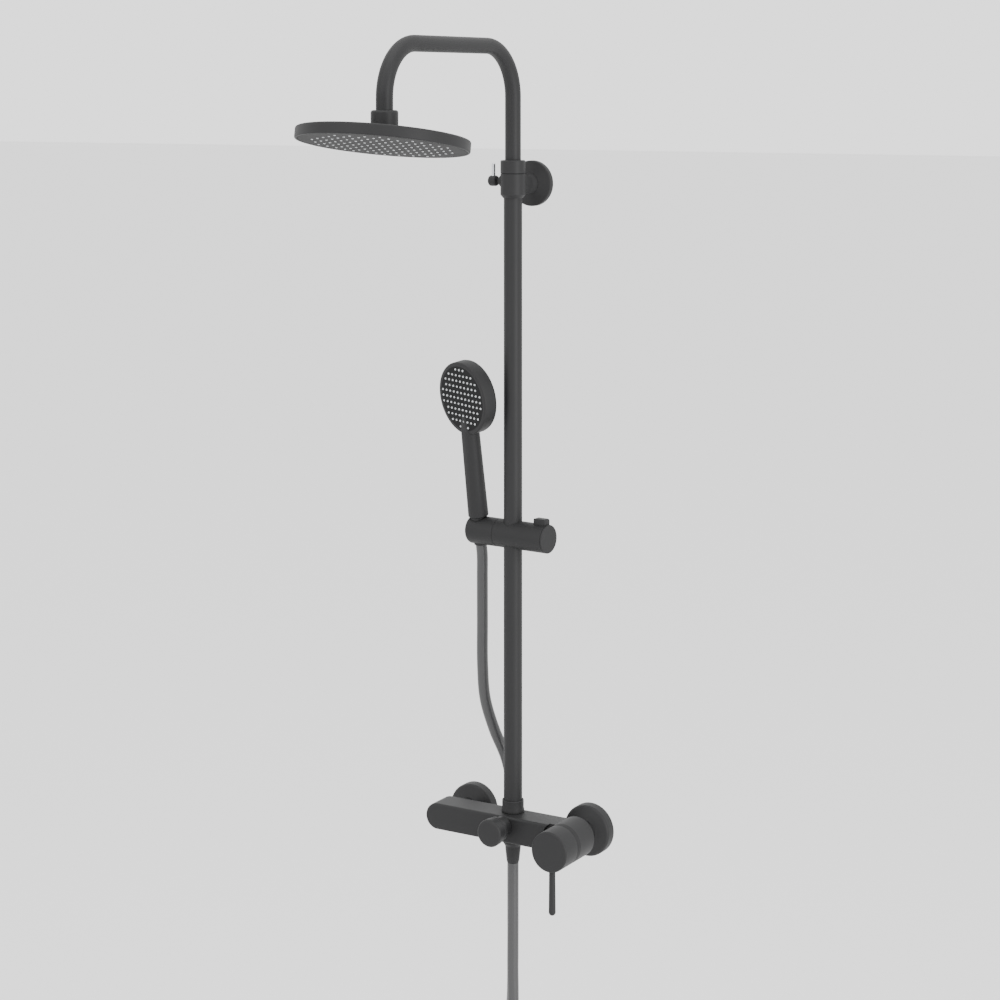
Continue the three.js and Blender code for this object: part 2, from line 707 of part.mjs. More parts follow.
// ---------------------------------------------------------------- slider and handset
function sliderSet() {
  const set = new THREE.Group();
  const bore = lowerTubeRadius + gap;
  const plungerRadius = 8;
  const axleRadius = 5;
  const axleHead = sliderSplit + 5;
  const axleEnd = -33;
  const barrel = turned([
    [0, sliderSplit + gap],
    [sliderRadius - 0.3, sliderSplit + gap],
    [sliderRadius, sliderSplit + gap + 0.3],
    [sliderRadius, sliderRight],
    [0, sliderRight],
  ], 'right', 24);
  const columnHole = rod(bore, -sliderRadius - 1, sliderRadius + 1, 'up', 24);
  const plungerBore = rod(plungerRadius + gap, bore - 4, sliderRight + 1, 'right', 24);
  const axleBore = rod(axleRadius + gap, sliderSplit - 1, axleHead + gap, 'right', 24);
  const linerRadius = bore + 0.7;
  const [linerFoot, linerTop] = [-10.8, -8.4];
  const linerSeat = rod(linerRadius + gap, linerFoot - gap, linerTop + gap, 'up', 24);
  const liner = pipe(lowerTubeRadius + gap - 0.05, linerRadius, linerFoot, linerTop, 'up', 24);
  const slot = new THREE.BoxGeometry(releaseLength + 2, releaseWidth + 2 * gap, sliderRadius);
  const slotStart = sliderRight - releaseLength - 2 * gap;
  slot.translate(slotStart + releaseLength / 2 + 1, 0, sliderRadius / 2 + 7);
  const housing = cut(solid(barrel), columnHole, plungerBore, axleBore, linerSeat, slot);

  const endCap = turned([
    [0, sliderRight - 4],
    [plungerRadius, sliderRight - 4],
    [plungerRadius, sliderRight + gap],
    [sliderRadius, sliderRight + gap],
    [sliderRadius, sliderRight + sliderCapThickness - 0.5],
    [sliderRadius - 0.5, sliderRight + sliderCapThickness],
    [0, sliderRight + sliderCapThickness],
  ], 'right', 24);

  const tabBottom = plungerRadius + 3;
  const tabOutline = new THREE.Shape();
  const tabTop = sliderRadius + releaseRise;
  const tabLeft = slotStart + gap;
  const tabRight = sliderRight - gap;
  tabOutline.moveTo(tabLeft, tabBottom);
  tabOutline.lineTo(tabRight, tabBottom);
  tabOutline.lineTo(tabRight, tabTop - 2.5);
  tabOutline.absarc(tabRight - 2.5, tabTop - 2.5, 2.5, 0, Math.PI / 2, false);
  tabOutline.lineTo(tabLeft + 1, tabTop);
  tabOutline.lineTo(tabLeft, tabTop - 1);
  tabOutline.closePath();
  const tab = new THREE.ExtrudeGeometry(tabOutline, {
    depth: releaseWidth, bevelEnabled: false, curveSegments: 5,
  });
  tab.rotateX(Math.PI / 2);
  tab.translate(0, releaseWidth / 2, 0);

  const padRod = rod(plungerRadius - gap, bore - 3, bore + 9, 'right', 24);
  const pad = cut(solid(padRod), rod(bore, -sliderRadius, sliderRadius, 'up', 24));
  const springFrom = bore + 9 + gap;
  const springTo = sliderRight - 4 - gap;
  const wire = 0.9;
  const turns = 4;
  const coil = Array.from({ length: turns * 8 + 1 }, (_, i) => {
    const angle = (2 * Math.PI * i) / 8;
    const run = springTo - springFrom - 2 * wire - 1;
    const x = springFrom + wire + 0.5 + (run * i) / (turns * 8);
    return new THREE.Vector3(x, 5.5 * Math.cos(angle), 5.5 * Math.sin(angle));
  });
  const spring = sweep(new StationPath(coil), coil.length - 1, wire, 3);

  const axle = turned([
    [0, axleEnd],
    [axleRadius, axleEnd],
    [axleRadius, axleHead],
    [0, axleHead],
  ], 'right', 20);

  set.add(
    piece('slider_housing', housing, blackPlastic),
    piece('slider_liner', liner, whitePlastic),
    piece('slider_end_cap', endCap, blackPlastic),
    piece('release_tab', tab, blackPlastic),
    piece('slider_brake_pad', pad, whitePlastic),
    piece('slider_spring', spring, steel),
    piece('cradle_axle', axle, steel),
    piece('cradle', cradleShape(axleRadius, axleEnd), blackPlastic),
  );
  const handset = handsetSet();
  handset.rotation.x = rad(handsetLean);
  set.add(moved(handset, cradleBore, 0, 0));
  set.rotation.z = rad(sliderSwivel);
  return moved(set, 0, -columnOffset, sliderHeight);
}

function coneRadius(distance) {
  const share = (distance + handleBase) / (2 * handleBase);
  return coneBottomRadius + (coneTopRadius - coneBottomRadius) * share;
}

function cradleShape(axleRadius, axleEnd) {
  const edge = 4;
  const blank = turned([
    [0, cradleLeft],
    ...arc(sliderRadius - edge, cradleLeft + edge, edge, -85, 0, 3),
    [sliderRadius, sliderSplit - 0.3],
    [sliderRadius - 0.3, sliderSplit],
    [0, sliderSplit],
  ], 'right', 24);
  const reach = handleBase + 4;
  const coneHole = turned([
    [0, -reach],
    [coneRadius(-reach) + gap, -reach],
    [coneRadius(reach) + gap, reach],
    [0, reach],
  ], 'up', 36);
  coneHole.rotateX(rad(handsetLean));
  coneHole.translate(cradleBore, 0, 0);
  const axleBore = rod(axleRadius + gap, axleEnd - gap, sliderSplit + 1, 'right', 24);
  return cut(solid(blank), coneHole, axleBore);
}

function handsetSet() {
  const lean = new THREE.Group();
  const turn = new THREE.Group();
  const threadRadius = tailRadius - 3.6;
  const bore = threadRadius - 1.6;
  const threadEnd = 4;
  const back = handsetBackDepth;
  const faceLip = 4;
  const plateThickness = 2.4;
  const plateRadius = handsetRadius - faceLip - gap;
  const matThickness = 1.8;

  const head = turned([
    [0, -back],
    [handsetRadius - 12, -back],
    [handsetRadius - 4, -back + 1.2],
    [handsetRadius - 0.8, -back + 3.5],
    [handsetRadius, -back + 6.5],
    ...arc(handsetRadius - 2, handsetFront - 2, 2, 0, 80, 2),
    [0, handsetFront],
  ], 'out', 28);
  head.translate(0, 0, handsetReach);
  const handle = turned([
    [0, threadEnd],
    [threadRadius, threadEnd],
    [threadRadius, handleBase],
    [handleBaseRadius - 1, handleBase],
    [handleBaseRadius, handleBase + 1.2],
    [handleTopRadius, handsetReach - handsetRadius + 4],
    [handleTopRadius - 3, handsetReach - handsetRadius + 26],
    [0, handsetReach - handsetRadius + 26],
  ], 'up', 24);
  // The flat on the handle's front starts level with the grip and deepens towards the head.
  const flatTop = handsetReach - handsetRadius;
  const flatFoot = handleBase + 10;
  const flatDepth = handleBaseRadius - handleTopRadius + 1.6;
  const flat = new THREE.BoxGeometry(40, 20, 2 * (flatTop - flatFoot));
  flat.translate(0, -handleBaseRadius - 10, flatTop - flatFoot);
  flat.rotateX(-Math.atan(flatDepth / (flatTop - flatFoot)));
  flat.translate(0, 0, flatFoot);
  const waterway = rod(bore, threadEnd - 1, handsetReach - handsetRadius + 20, 'up', 20);
  const recess = rod(plateRadius + gap, handsetFront - plateThickness - gap, handsetFront + 1, 'out', 28);
  recess.translate(0, 0, handsetReach);
  const chamber = rod(handsetRadius - 9, -back + 4, handsetFront, 'out', 24);
  chamber.translate(0, 0, handsetReach);
  const handsetBody = cut(
    solid(shown(solid(handle).subtract(solid(flat)))).add(solid(head)),
    recess, chamber, waterway,
  );
  const face = turned([
    [0, handsetFront - plateThickness],
    [plateRadius, handsetFront - plateThickness],
    [plateRadius, handsetFront - 0.4],
    [plateRadius - 0.4, handsetFront],
    [0, handsetFront],
  ], 'out', 28);
  const matFront = handsetFront - plateThickness - gap;
  const mat = rod(handsetRadius - 9 - gap, matFront - matThickness, matFront, 'out', 28);

  const nutTop = handleBase - gap;
  const coneNut = ring([
    [waterwayRadius - 2, -handleBase],
    [coneRadius(-handleBase), -handleBase],
    [coneRadius(nutTop), nutTop],
    [threadRadius + gap, nutTop],
    [threadRadius + gap, threadEnd - 3],
    [waterwayRadius - 2, threadEnd - 3],
  ], 'up', 32);
  const washer = pipe(bore, threadRadius, threadEnd - 3 + gap, threadEnd - gap, 'up', 20);

  turn.add(
    piece('handset_body', handsetBody, blackPlastic),
    moved(piece('handset_face', face, blackPlastic), 0, 0, handsetReach),
    moved(piece('handset_nozzle_mat', mat, paleRubber), 0, 0, handsetReach),
    piece('handset_washer', washer, rubber),
  );
  turn.rotation.z = rad(handsetTurn);
  lean.add(turn, piece('hose_cone_nut', coneNut, blackMetal));
  return lean;
}

// ---------------------------------------------------------------- hose
// Both ends follow the nuts they enter. Between them the points stay as chosen: down from
// the mixer, a loop that takes up the slack, up behind the mixer body and over to the handset.
const hoseNutTop = bodyBottom - gap;
const hoseNutBottom = hoseNutTop - hoseNutLength;
const vertical = new THREE.Vector3(0, 0, 1);
const cradleCentre = new THREE.Vector3(cradleBore, 0, 0)
  .applyAxisAngle(vertical, rad(sliderSwivel))
  .add(new THREE.Vector3(0, -columnOffset, sliderHeight));
const handsetAxis = new THREE.Vector3(0, 0, 1)
  .applyAxisAngle(new THREE.Vector3(1, 0, 0), rad(handsetLean))
  .applyAxisAngle(vertical, rad(sliderSwivel));
const hoseEnd = cradleCentre.clone().addScaledVector(handsetAxis, -handleBase - 2 * gap);
const hoseEntry = cradleCentre.clone().addScaledVector(handsetAxis, -handleBase - 14);
const hoseRoute = [
  [0, -columnOffset, hoseNutBottom - gap],
  [0, -48.5, -60],
  [0, -48.5, -120],
  [0, -48.5, -180],
  [3, -48.5, -240],
  [21, -47.5, -303],
  [50, -46, -359],
  [72, -43.5, -418],
  [69, -41, -478],
  [33, -38, -524],
  [-12, -35, -540],
  [-57, -32, -524],
  [-92, -29, -478],
  [-94, -26, -418],
  [-72, -23.5, -359],
  [-42, -20.5, -303],
  [-22, -18, -240],
  [-18.5, -17.6, -180],
  [-18.5, -17.6, -120],
  [-18.5, -17.6, -60],
  [-18.5, -17.6, 0],
  [-19, -18, 35],
  [-25, -22, 72],
  [-37, -30.5, 108],
  [-46, -36.5, 145],
  [-48.6, -38.2, 185],
  [-48.7, -38.4, 240],
  [-48.6, -38.8, 290],
  hoseEntry.toArray(),
  hoseEnd.toArray(),
];

function hoseSet() {
  const set = new THREE.Group();
  const points = hoseRoute.map(([x, y, z]) => new THREE.Vector3(x, y, z));
  const hose = sweep(new THREE.CatmullRomCurve3(points), 60, hoseRadius, 4);
  const lowerNut = ring([
    [waterwayRadius - 2, hoseNutTop],
    [12, hoseNutTop],
    [12, hoseNutTop - 5],
    [9.4, hoseNutTop - 9],
    [9, hoseNutTop - 14],
    [hoseRadius + 0.25, hoseNutBottom],
    [waterwayRadius - 2, hoseNutBottom],
  ], 'up', 24);
  const checkValve = pipe(3, waterwayRadius + 1 - gap, bodyBottom, bodyBottom + 9, 'up', 20);
  set.add(
    piece('hose', hose, blackHose),
    moved(piece('hose_lower_nut', lowerNut, blackMetal), 0, -columnOffset, 0),
    moved(piece('check_valve', checkValve, whitePlastic), 0, -columnOffset, 0),
  );
  return set;
}

// ---------------------------------------------------------------- assembly
const group = new THREE.Group();
group.add(
  inletSide('left'),
  inletSide('right'),
  piece('mixer_body', mixerBody(), blackMetal),
  cartridgeSet(),
  diverterSet(),
  columnSet(),
  bracketWallSet(),
  piece('riser_tube', riserTube(), blackMetal),
  collarSet(),
  headSet(),
  sliderSet(),
  hoseSet(),
);
export default group;
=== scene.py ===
# %% [markdown]
# # A rainfall shower column
# This lesson dresses a wall-mounted shower column: a bar mixer, a column that telescopes, a wide
# overhead shower, a sliding holder with a handset, and the hose between them. The measured model
# comes first, as a frame that every piece is laid into. Nothing here moves or resizes that frame.

# %% Load the measured frame
import json
import math

import bmesh
import bpy
from mathutils import Matrix, Vector


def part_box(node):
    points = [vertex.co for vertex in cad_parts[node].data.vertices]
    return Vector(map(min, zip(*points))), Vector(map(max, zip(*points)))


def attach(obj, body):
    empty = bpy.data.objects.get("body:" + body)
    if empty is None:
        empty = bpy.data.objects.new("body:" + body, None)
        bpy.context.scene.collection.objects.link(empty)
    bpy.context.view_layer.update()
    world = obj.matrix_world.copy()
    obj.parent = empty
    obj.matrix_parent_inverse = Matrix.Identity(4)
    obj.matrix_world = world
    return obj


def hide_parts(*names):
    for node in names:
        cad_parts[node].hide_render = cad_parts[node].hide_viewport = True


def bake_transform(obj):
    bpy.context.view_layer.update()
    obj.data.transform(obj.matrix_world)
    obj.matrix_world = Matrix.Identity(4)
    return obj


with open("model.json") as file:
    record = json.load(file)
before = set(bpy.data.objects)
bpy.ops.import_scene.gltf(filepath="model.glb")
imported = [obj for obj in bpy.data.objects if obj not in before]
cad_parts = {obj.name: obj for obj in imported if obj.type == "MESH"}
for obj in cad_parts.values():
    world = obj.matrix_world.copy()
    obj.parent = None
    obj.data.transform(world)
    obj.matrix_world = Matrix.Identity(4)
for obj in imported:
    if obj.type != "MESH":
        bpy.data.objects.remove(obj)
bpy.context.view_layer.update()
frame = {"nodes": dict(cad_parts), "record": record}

body_of = {node: body for body, nodes in frame["record"]["behaviour"]["bodies"].items() for node in nodes}
slot_of = {part["node"]: part["material_slot"] for part in frame["record"]["subparts"]}

# %% [markdown]
# ## Where things are
# The frame's own boxes give the places that pieces share: the column's axis and thickness, the
# overhead shower's axis, the holder's height. Lengths are in metres, and mm() keeps small sizes
# readable. A place is a matrix that carries a piece from its own axis, +Z, into the frame.

# %% Shared sizes and places
def mm(*values):
    return values[0] / 1000 if len(values) == 1 else tuple(v / 1000 for v in values)


def middle(node):
    low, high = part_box(node)
    return (Vector(low) + Vector(high)) / 2


def upright(x, y, z):
    return Matrix.Translation((x, y, z))


def outward(x, z):
    return Matrix.Translation((x, 0, z)) @ Matrix.Rotation(math.pi / 2, 4, "X")


column = middle("lower_tube")
COLUMN_Y = column.y
COLUMN_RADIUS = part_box("lower_tube")[1][0]
FIT = mm(0.3)
BODY_BACK, BODY_FRONT = mm(36, 72)
BODY_TOP, BODY_BOTTOM = mm(20, -11)
LEVER_X = middle("right_wall_flange").x
BRACKET_Z = middle("bracket_wall_plate").z
RISER_RADIUS = mm(9.5)
RISER_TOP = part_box("riser_tube")[1][2] - RISER_RADIUS
ARM_Y = middle("head_collar").y
BALL_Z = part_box("head_collar")[0][2] + mm(6.5)
HOLDER_Z = middle("slider_housing").z

holder = upright(0, COLUMN_Y, HOLDER_Z) @ Matrix.Rotation(math.radians(-5), 4, "Z")
sideways = Matrix.Rotation(math.pi / 2, 4, "Y")
cone = holder @ upright(mm(-49), 0, 0) @ Matrix.Rotation(math.radians(9), 4, "X")
grip = cone @ Matrix.Rotation(math.radians(-15), 4, "Z")
HEAD_TILT = math.radians(-9.3)
overhead = upright(0, ARM_Y, BALL_Z) @ Matrix.Rotation(HEAD_TILT, 4, "X")
print("column radius", round(COLUMN_RADIUS, 4), "arm reach", round(COLUMN_Y - ARM_Y, 4))

# %% [markdown]
# ## Camera and light
# A catalogue view from the front right: a long lens keeps the column straight, and the lens is
# shifted instead of tilted, so that uprights stay upright. White surroundings light the black
# finish evenly, and one large lamp on the right draws the pale band down each tube.

# %% Camera
camera_data = bpy.data.cameras.new("catalogue_view")
camera_data.lens = 81.43
camera_data.sensor_width = 36
camera_data.shift_y = -0.408
camera = bpy.data.objects.new("catalogue_view", camera_data)
camera.location = (1.3722, -2.3622, 0.875)
camera.rotation_euler = (math.pi / 2, 0, math.radians(31))
bpy.context.collection.objects.link(camera)
bpy.context.scene.camera = camera
print("camera at", tuple(camera.location))

# %% Lamps, sky and floor
def lamp(name, place, target, size, watts):
    data = bpy.data.lights.new(name, "AREA")
    data.shape = "RECTANGLE"
    data.size, data.size_y = size
    data.energy = watts
    made = bpy.data.objects.new(name, data)
    made.location = place
    made.rotation_euler = (Vector(target) - Vector(place)).to_track_quat("-Z", "Y").to_euler()
    bpy.context.collection.objects.link(made)
    return made


lamp("tall_key", (2.6, -0.9, 0.6), (0, -0.1, 0.35), (0.7, 2.4), 60)
lamp("soft_front", (-0.6, -3.2, 1.5), (0, -0.1, 0.35), (2.2, 2.2), 30)
lamp("overhead_soft", (0.3, -0.8, 2.9), (0, -0.1, 0.4), (2.5, 2.5), 40)

sky = bpy.data.worlds.new("white_surroundings")
sky.use_nodes = True
sky.node_tree.nodes["Background"].inputs["Color"].default_value = (1, 1, 1, 1)
sky.node_tree.nodes["Background"].inputs["Strength"].default_value = 1.9
bpy.context.scene.world = sky

FLOOR_Z = -0.95
floor_mesh = bpy.data.meshes.new("floor")
reach = 60
floor_mesh.from_pydata(
    [(-reach, -reach, FLOOR_Z), (reach, -reach, FLOOR_Z), (reach, reach, FLOOR_Z), (-reach, reach, FLOOR_Z)],
    [], [(0, 1, 2, 3)])
floor = bpy.data.objects.new("floor", floor_mesh)
bpy.context.collection.objects.link(floor)
print("floor", FLOOR_Z)

# %% [markdown]
# ## Finishes
# Nearly everything is powder-coated or moulded in the same matte black. Powder coat isn't flat:
# it has a fine orange-peel ripple and its gloss drifts a little from place to place. The ripple is a bump
# from noise in metres, and the drift is a slow noise on the roughness. Moulded parts get a finer,
# sharper grain. Uniform values are set on the shader's own sockets.

# %% A finish maker
def finish(name, colour, rough, ripple=(700, 0.25), metal=0.0, specular=0.2, drift=0.06, shade=0.12):
    """A material whose colour and gloss wander slightly and whose surface has a fine ripple."""
    material = bpy.data.materials.new(name)
    material.use_nodes = True
    nodes, links = material.node_tree.nodes, material.node_tree.links
    shader = nodes["Principled BSDF"]
    shader.inputs["Metallic"].default_value = metal
    shader.inputs["Specular IOR Level"].default_value = specular
    place = nodes.new("ShaderNodeTexCoord")

    slow = nodes.new("ShaderNodeTexNoise")
    slow.inputs["Scale"].default_value = 14
    slow.inputs["Detail"].default_value = 4
    links.new(place.outputs["Object"], slow.inputs["Vector"])
    gloss = nodes.new("ShaderNodeMapRange")
    gloss.inputs["To Min"].default_value = rough - drift
    gloss.inputs["To Max"].default_value = rough + drift
    links.new(slow.outputs["Fac"], gloss.inputs["Value"])
    links.new(gloss.outputs["Result"], shader.inputs["Roughness"])

    fine = nodes.new("ShaderNodeTexNoise")
    fine.inputs["Scale"].default_value = ripple[0]
    fine.inputs["Detail"].default_value = 3
    links.new(place.outputs["Object"], fine.inputs["Vector"])
    tint = nodes.new("ShaderNodeMix")
    tint.data_type = "RGBA"
    tint.inputs["A"].default_value = (*[c * (1 - shade) for c in colour], 1)
    tint.inputs["B"].default_value = (*[c * (1 + shade) for c in colour], 1)
    links.new(fine.outputs["Fac"], tint.inputs["Factor"])
    links.new(tint.outputs["Result"], shader.inputs["Base Color"])
    bump = nodes.new("ShaderNodeBump")
    bump.inputs["Strength"].default_value = ripple[1]
    bump.inputs["Distance"].default_value = mm(0.06)
    links.new(fine.outputs["Fac"], bump.inputs["Height"])
    links.new(bump.outputs["Normal"], shader.inputs["Normal"])
    return material


BLACK = (0.0135, 0.0135, 0.0140)
powder_coat = finish("matte_powder_coat", BLACK, 0.52)
moulded_black = finish("moulded_matte_black", tuple(c * 0.95 for c in BLACK), 0.56, ripple=(1900, 0.3))
face_black = finish("spray_face_black", tuple(c * 0.6 for c in BLACK), 0.6, ripple=(1900, 0.25), specular=0.1)
hose_black = finish("satin_hose_cover", (0.03, 0.03, 0.031), 0.36, ripple=(2600, 0.12), specular=0.5)
satin_chrome = finish("satin_chrome", (0.5, 0.51, 0.53), 0.2, ripple=(300, 0.03), metal=1,
                      drift=0.03, shade=0.02)
bright_steel = finish("turned_steel", (0.5, 0.51, 0.52), 0.3, ripple=(1500, 0.15), metal=1)
machined_brass = finish("machined_brass", (0.58, 0.4, 0.16), 0.32, ripple=(1200, 0.15), metal=1)
black_rubber = finish("seal_rubber", (0.012, 0.012, 0.012), 0.8, ripple=(1200, 0.4))
pale_silicone = finish("pale_nozzle_silicone", (0.46, 0.47, 0.48), 0.5, ripple=(2500, 0.2), drift=0.05)
natural_acetal = finish("natural_acetal", (0.7, 0.69, 0.64), 0.42, ripple=(1500, 0.15))
pale_floor = finish("pale_floor", (0.86, 0.86, 0.86), 0.85, ripple=(40, 0.05), specular=0.1, shade=0.004)
floor.data.materials.append(pale_floor)
inner_finish = {
    "brass": machined_brass, "steel": bright_steel, "seal_rubber": black_rubber,
    "nozzle_rubber": pale_silicone, "white_plastic": natural_acetal, "black_metal": powder_coat,
    "black_plastic": moulded_black, "bright_pin": satin_chrome, "hose_cover": hose_black,
}
print(len(bpy.data.materials), "finishes")

# %% [markdown]
# ## Making turned metal
# Most of a tap is turned on a lathe, so most pieces here are a profile spun about an axis. A real
# turned edge is never razor sharp, and a tiny round is what catches the light. So eased() rounds each
# corner of a profile and leaves a close pair of points beside it, which keeps the flats flat when
# the surface is shaded smooth.

# %% Profiles
def eased(profile, radius, closed):
    """Rounds the corners of a list of (across, along) points by at most the radius."""
    points = [Vector(p) for p in profile]
    eased_points = []
    for i, corner in enumerate(points):
        if not closed and i in (0, len(points) - 1):
            eased_points.append(corner)
            continue
        before = points[i - 1] - corner
        after = points[(i + 1) % len(points)] - corner
        if before.angle(after) > math.radians(158):
            eased_points.append(corner)
            continue
        size = min(radius, before.length * 0.4, after.length * 0.4)
        start, end = corner + before.normalized() * size, corner + after.normalized() * size
        eased_points.append(corner + before.normalized() * size * 1.2)
        for step in range(5):
            t = step / 4
            eased_points.append(start * (1 - t) ** 2 + corner * 2 * t * (1 - t) + end * t * t)
        eased_points.append(corner + after.normalized() * size * 1.2)
    return eased_points


def arc(across, along, radius, start, end, steps=8):
    """Points on an arc, in degrees from the across direction."""
    angles = [math.radians(start + (end - start) * i / steps) for i in range(steps + 1)]
    return [(across + radius * math.cos(a), along + radius * math.sin(a)) for a in angles]


# %% From bmesh to a piece
SHARP = math.radians(34)


def sharpen(mesh):
    """Smooth shading that breaks at real edges."""
    bm = bmesh.new()
    bm.from_mesh(mesh)
    for face in bm.faces:
        face.smooth = True
    for edge in bm.edges:
        edge.smooth = edge.is_manifold and edge.calc_face_angle(0) < SHARP
    bm.to_mesh(mesh)
    bm.free()


def piece(name, bm, place=Matrix.Identity(4)):
    """A linked object at the origin, with its place in its mesh and its faces outward."""
    bmesh.ops.transform(bm, matrix=place, verts=bm.verts)
    bmesh.ops.recalc_face_normals(bm, faces=bm.faces)
    mesh = bpy.data.meshes.new(name)
    bm.to_mesh(mesh)
    bm.free()
    sharpen(mesh)
    made = bpy.data.objects.new(name, mesh)
    bpy.context.collection.objects.link(made)
    return made


def turned(name, profile, place, sides=96, ease=0.5, twist=0.0):
    """Spins a profile in millimetres about +Z. It starts and ends on the axis, or closes on itself."""
    closed = profile[0][0] > 0
    outline = [Vector(p) for p in profile] if ease == 0 else eased(profile, ease, closed)
    bm = bmesh.new()
    rings = []
    for across, along in outline:
        if across < 1e-6:
            rings.append([bm.verts.new((0, 0, mm(along)))])
            continue
        turn = [twist + 2 * math.pi * k / sides for k in range(sides)]
        rings.append([bm.verts.new((mm(across) * math.cos(a), mm(across) * math.sin(a), mm(along)))
                      for a in turn])
    pairs = list(zip(rings, rings[1:])) + ([(rings[-1], rings[0])] if closed else [])
    for lower, upper in pairs:
        for k in range(sides):
            corners = [lower[k % len(lower)], lower[(k + 1) % len(lower)],
                       upper[(k + 1) % len(upper)], upper[k % len(upper)]]
            corners = list(dict.fromkeys(corners))
            if len(corners) > 2:
                bm.faces.new(corners)
    return piece(name, bm, place)


def rod(name, radius, start, end, place, sides=64, ease=0.0):
    return turned(name, [(0, start), (radius, start), (radius, end), (0, end)], place, sides, ease)


def pipe(name, inner, outer, start, end, place, sides=96, ease=0.3):
    profile = [(inner, start), (outer, start), (outer, end), (inner, end)]
    return turned(name, profile, place, sides, ease)


# %% Joining and cutting
def plain(made):
    """Turns the modifiers of an object into its own plain mesh."""
    evaluated = made.evaluated_get(bpy.context.evaluated_depsgraph_get())
    mesh = bpy.data.meshes.new_from_object(evaluated)
    made.modifiers.clear()
    made.data = mesh
    return made


def carve(base, joins=(), cuts=(), commons=()):
    """Adds, removes or intersects whole pieces with exact booleans, then discards the tools."""
    for operation, tools in (("INTERSECT", commons), ("UNION", joins), ("DIFFERENCE", cuts)):
        for tool in tools:
            step = base.modifiers.new(operation.lower(), "BOOLEAN")
            step.operation, step.solver, step.object = operation, "EXACT", tool
    plain(base)
    for tool in (*joins, *cuts, *commons):
        bpy.data.objects.remove(tool)
    bm = bmesh.new()
    bm.from_mesh(base.data)
    bmesh.ops.remove_doubles(bm, verts=bm.verts, dist=1e-6)
    print(base.name, sum(not edge.is_manifold for edge in bm.edges), "open edges")
    bm.to_mesh(base.data)
    bm.free()
    sharpen(base.data)
    return base


def stands_for(made, *nodes, material=None, rides=True):
    """Finishes a piece and lets it take the place of its frame nodes."""
    made.data.materials.clear()
    made.data.materials.append(material or inner_finish[slot_of[nodes[0]]])
    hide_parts(*nodes)
    if rides:
        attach(made, body_of[nodes[0]])
    print(made.name, len(made.data.polygons), "faces for", ", ".join(nodes))
    return made


# %% [markdown]
# ## The hose
# A shower hose is a smooth skin over a wound tube. It leaves the mixer straight down, hangs in a
# slack loop, passes behind the mixer and climbs to the handset. Its route is a given list,
# the same as the measured model's, and a smooth curve runs through it. A round section carried
# along that curve makes the skin, with its own UV map so that fine ribs can follow the hose.

# %% The route
HOSE_RADIUS = mm(6.75)
mixer_end = Vector((0, COLUMN_Y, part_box("hose_lower_nut")[0][2] - FIT))
holder_end = cone @ Vector((0, 0, mm(-17.25 - 0.6)))
holder_entry = cone @ Vector((0, 0, mm(-17.25 - 14)))
ROUTE = [
    mixer_end,
    (0, -0.0485, -0.060), (0, -0.0485, -0.120), (0, -0.0485, -0.180), (0.003, -0.0485, -0.240),
    (0.021, -0.0475, -0.303), (0.050, -0.046, -0.359), (0.072, -0.0435, -0.418), (0.069, -0.041, -0.478),
    (0.033, -0.038, -0.524), (-0.012, -0.035, -0.540), (-0.057, -0.032, -0.524), (-0.092, -0.029, -0.478),
    (-0.094, -0.026, -0.418), (-0.072, -0.0235, -0.359), (-0.042, -0.0205, -0.303), (-0.022, -0.018, -0.240),
    (-0.0185, -0.0176, -0.180), (-0.0185, -0.0176, -0.120), (-0.0185, -0.0176, -0.060), (-0.0185, -0.0176, 0),
    (-0.019, -0.018, 0.035), (-0.025, -0.022, 0.072), (-0.037, -0.0305, 0.108), (-0.046, -0.0365, 0.145),
    (-0.0486, -0.0382, 0.185), (-0.0487, -0.0384, 0.240), (-0.0486, -0.0388, 0.290),
    holder_entry, holder_end,
]


def through(points, per_span):
    """A centripetal Catmull-Rom curve through the points."""
    points = [Vector(p) for p in points]
    first, last = 2 * points[0] - points[1], 2 * points[-1] - points[-2]
    padded = [first, *points, last]
    line = []
    for p0, p1, p2, p3 in zip(padded, padded[1:], padded[2:], padded[3:]):
        t0 = 0
        t1 = t0 + (p1 - p0).length ** 0.5
        t2 = t1 + (p2 - p1).length ** 0.5
        t3 = t2 + (p3 - p2).length ** 0.5
        for k in range(per_span):
            t = t1 + (t2 - t1) * k / per_span
            a1 = p0.lerp(p1, (t - t0) / (t1 - t0))
            a2 = p1.lerp(p2, (t - t1) / (t2 - t1))
            a3 = p2.lerp(p3, (t - t2) / (t3 - t2))
            b1 = a1.lerp(a2, (t - t0) / (t2 - t0))
            b2 = a2.lerp(a3, (t - t1) / (t3 - t1))
            line.append(b1.lerp(b2, (t - t1) / (t2 - t1)))
    return [*line, points[-1]]


hose_line = through(ROUTE, 12)
hose_length = sum((b - a).length for a, b in zip(hose_line, hose_line[1:]))
print("hose length", round(hose_length, 4))

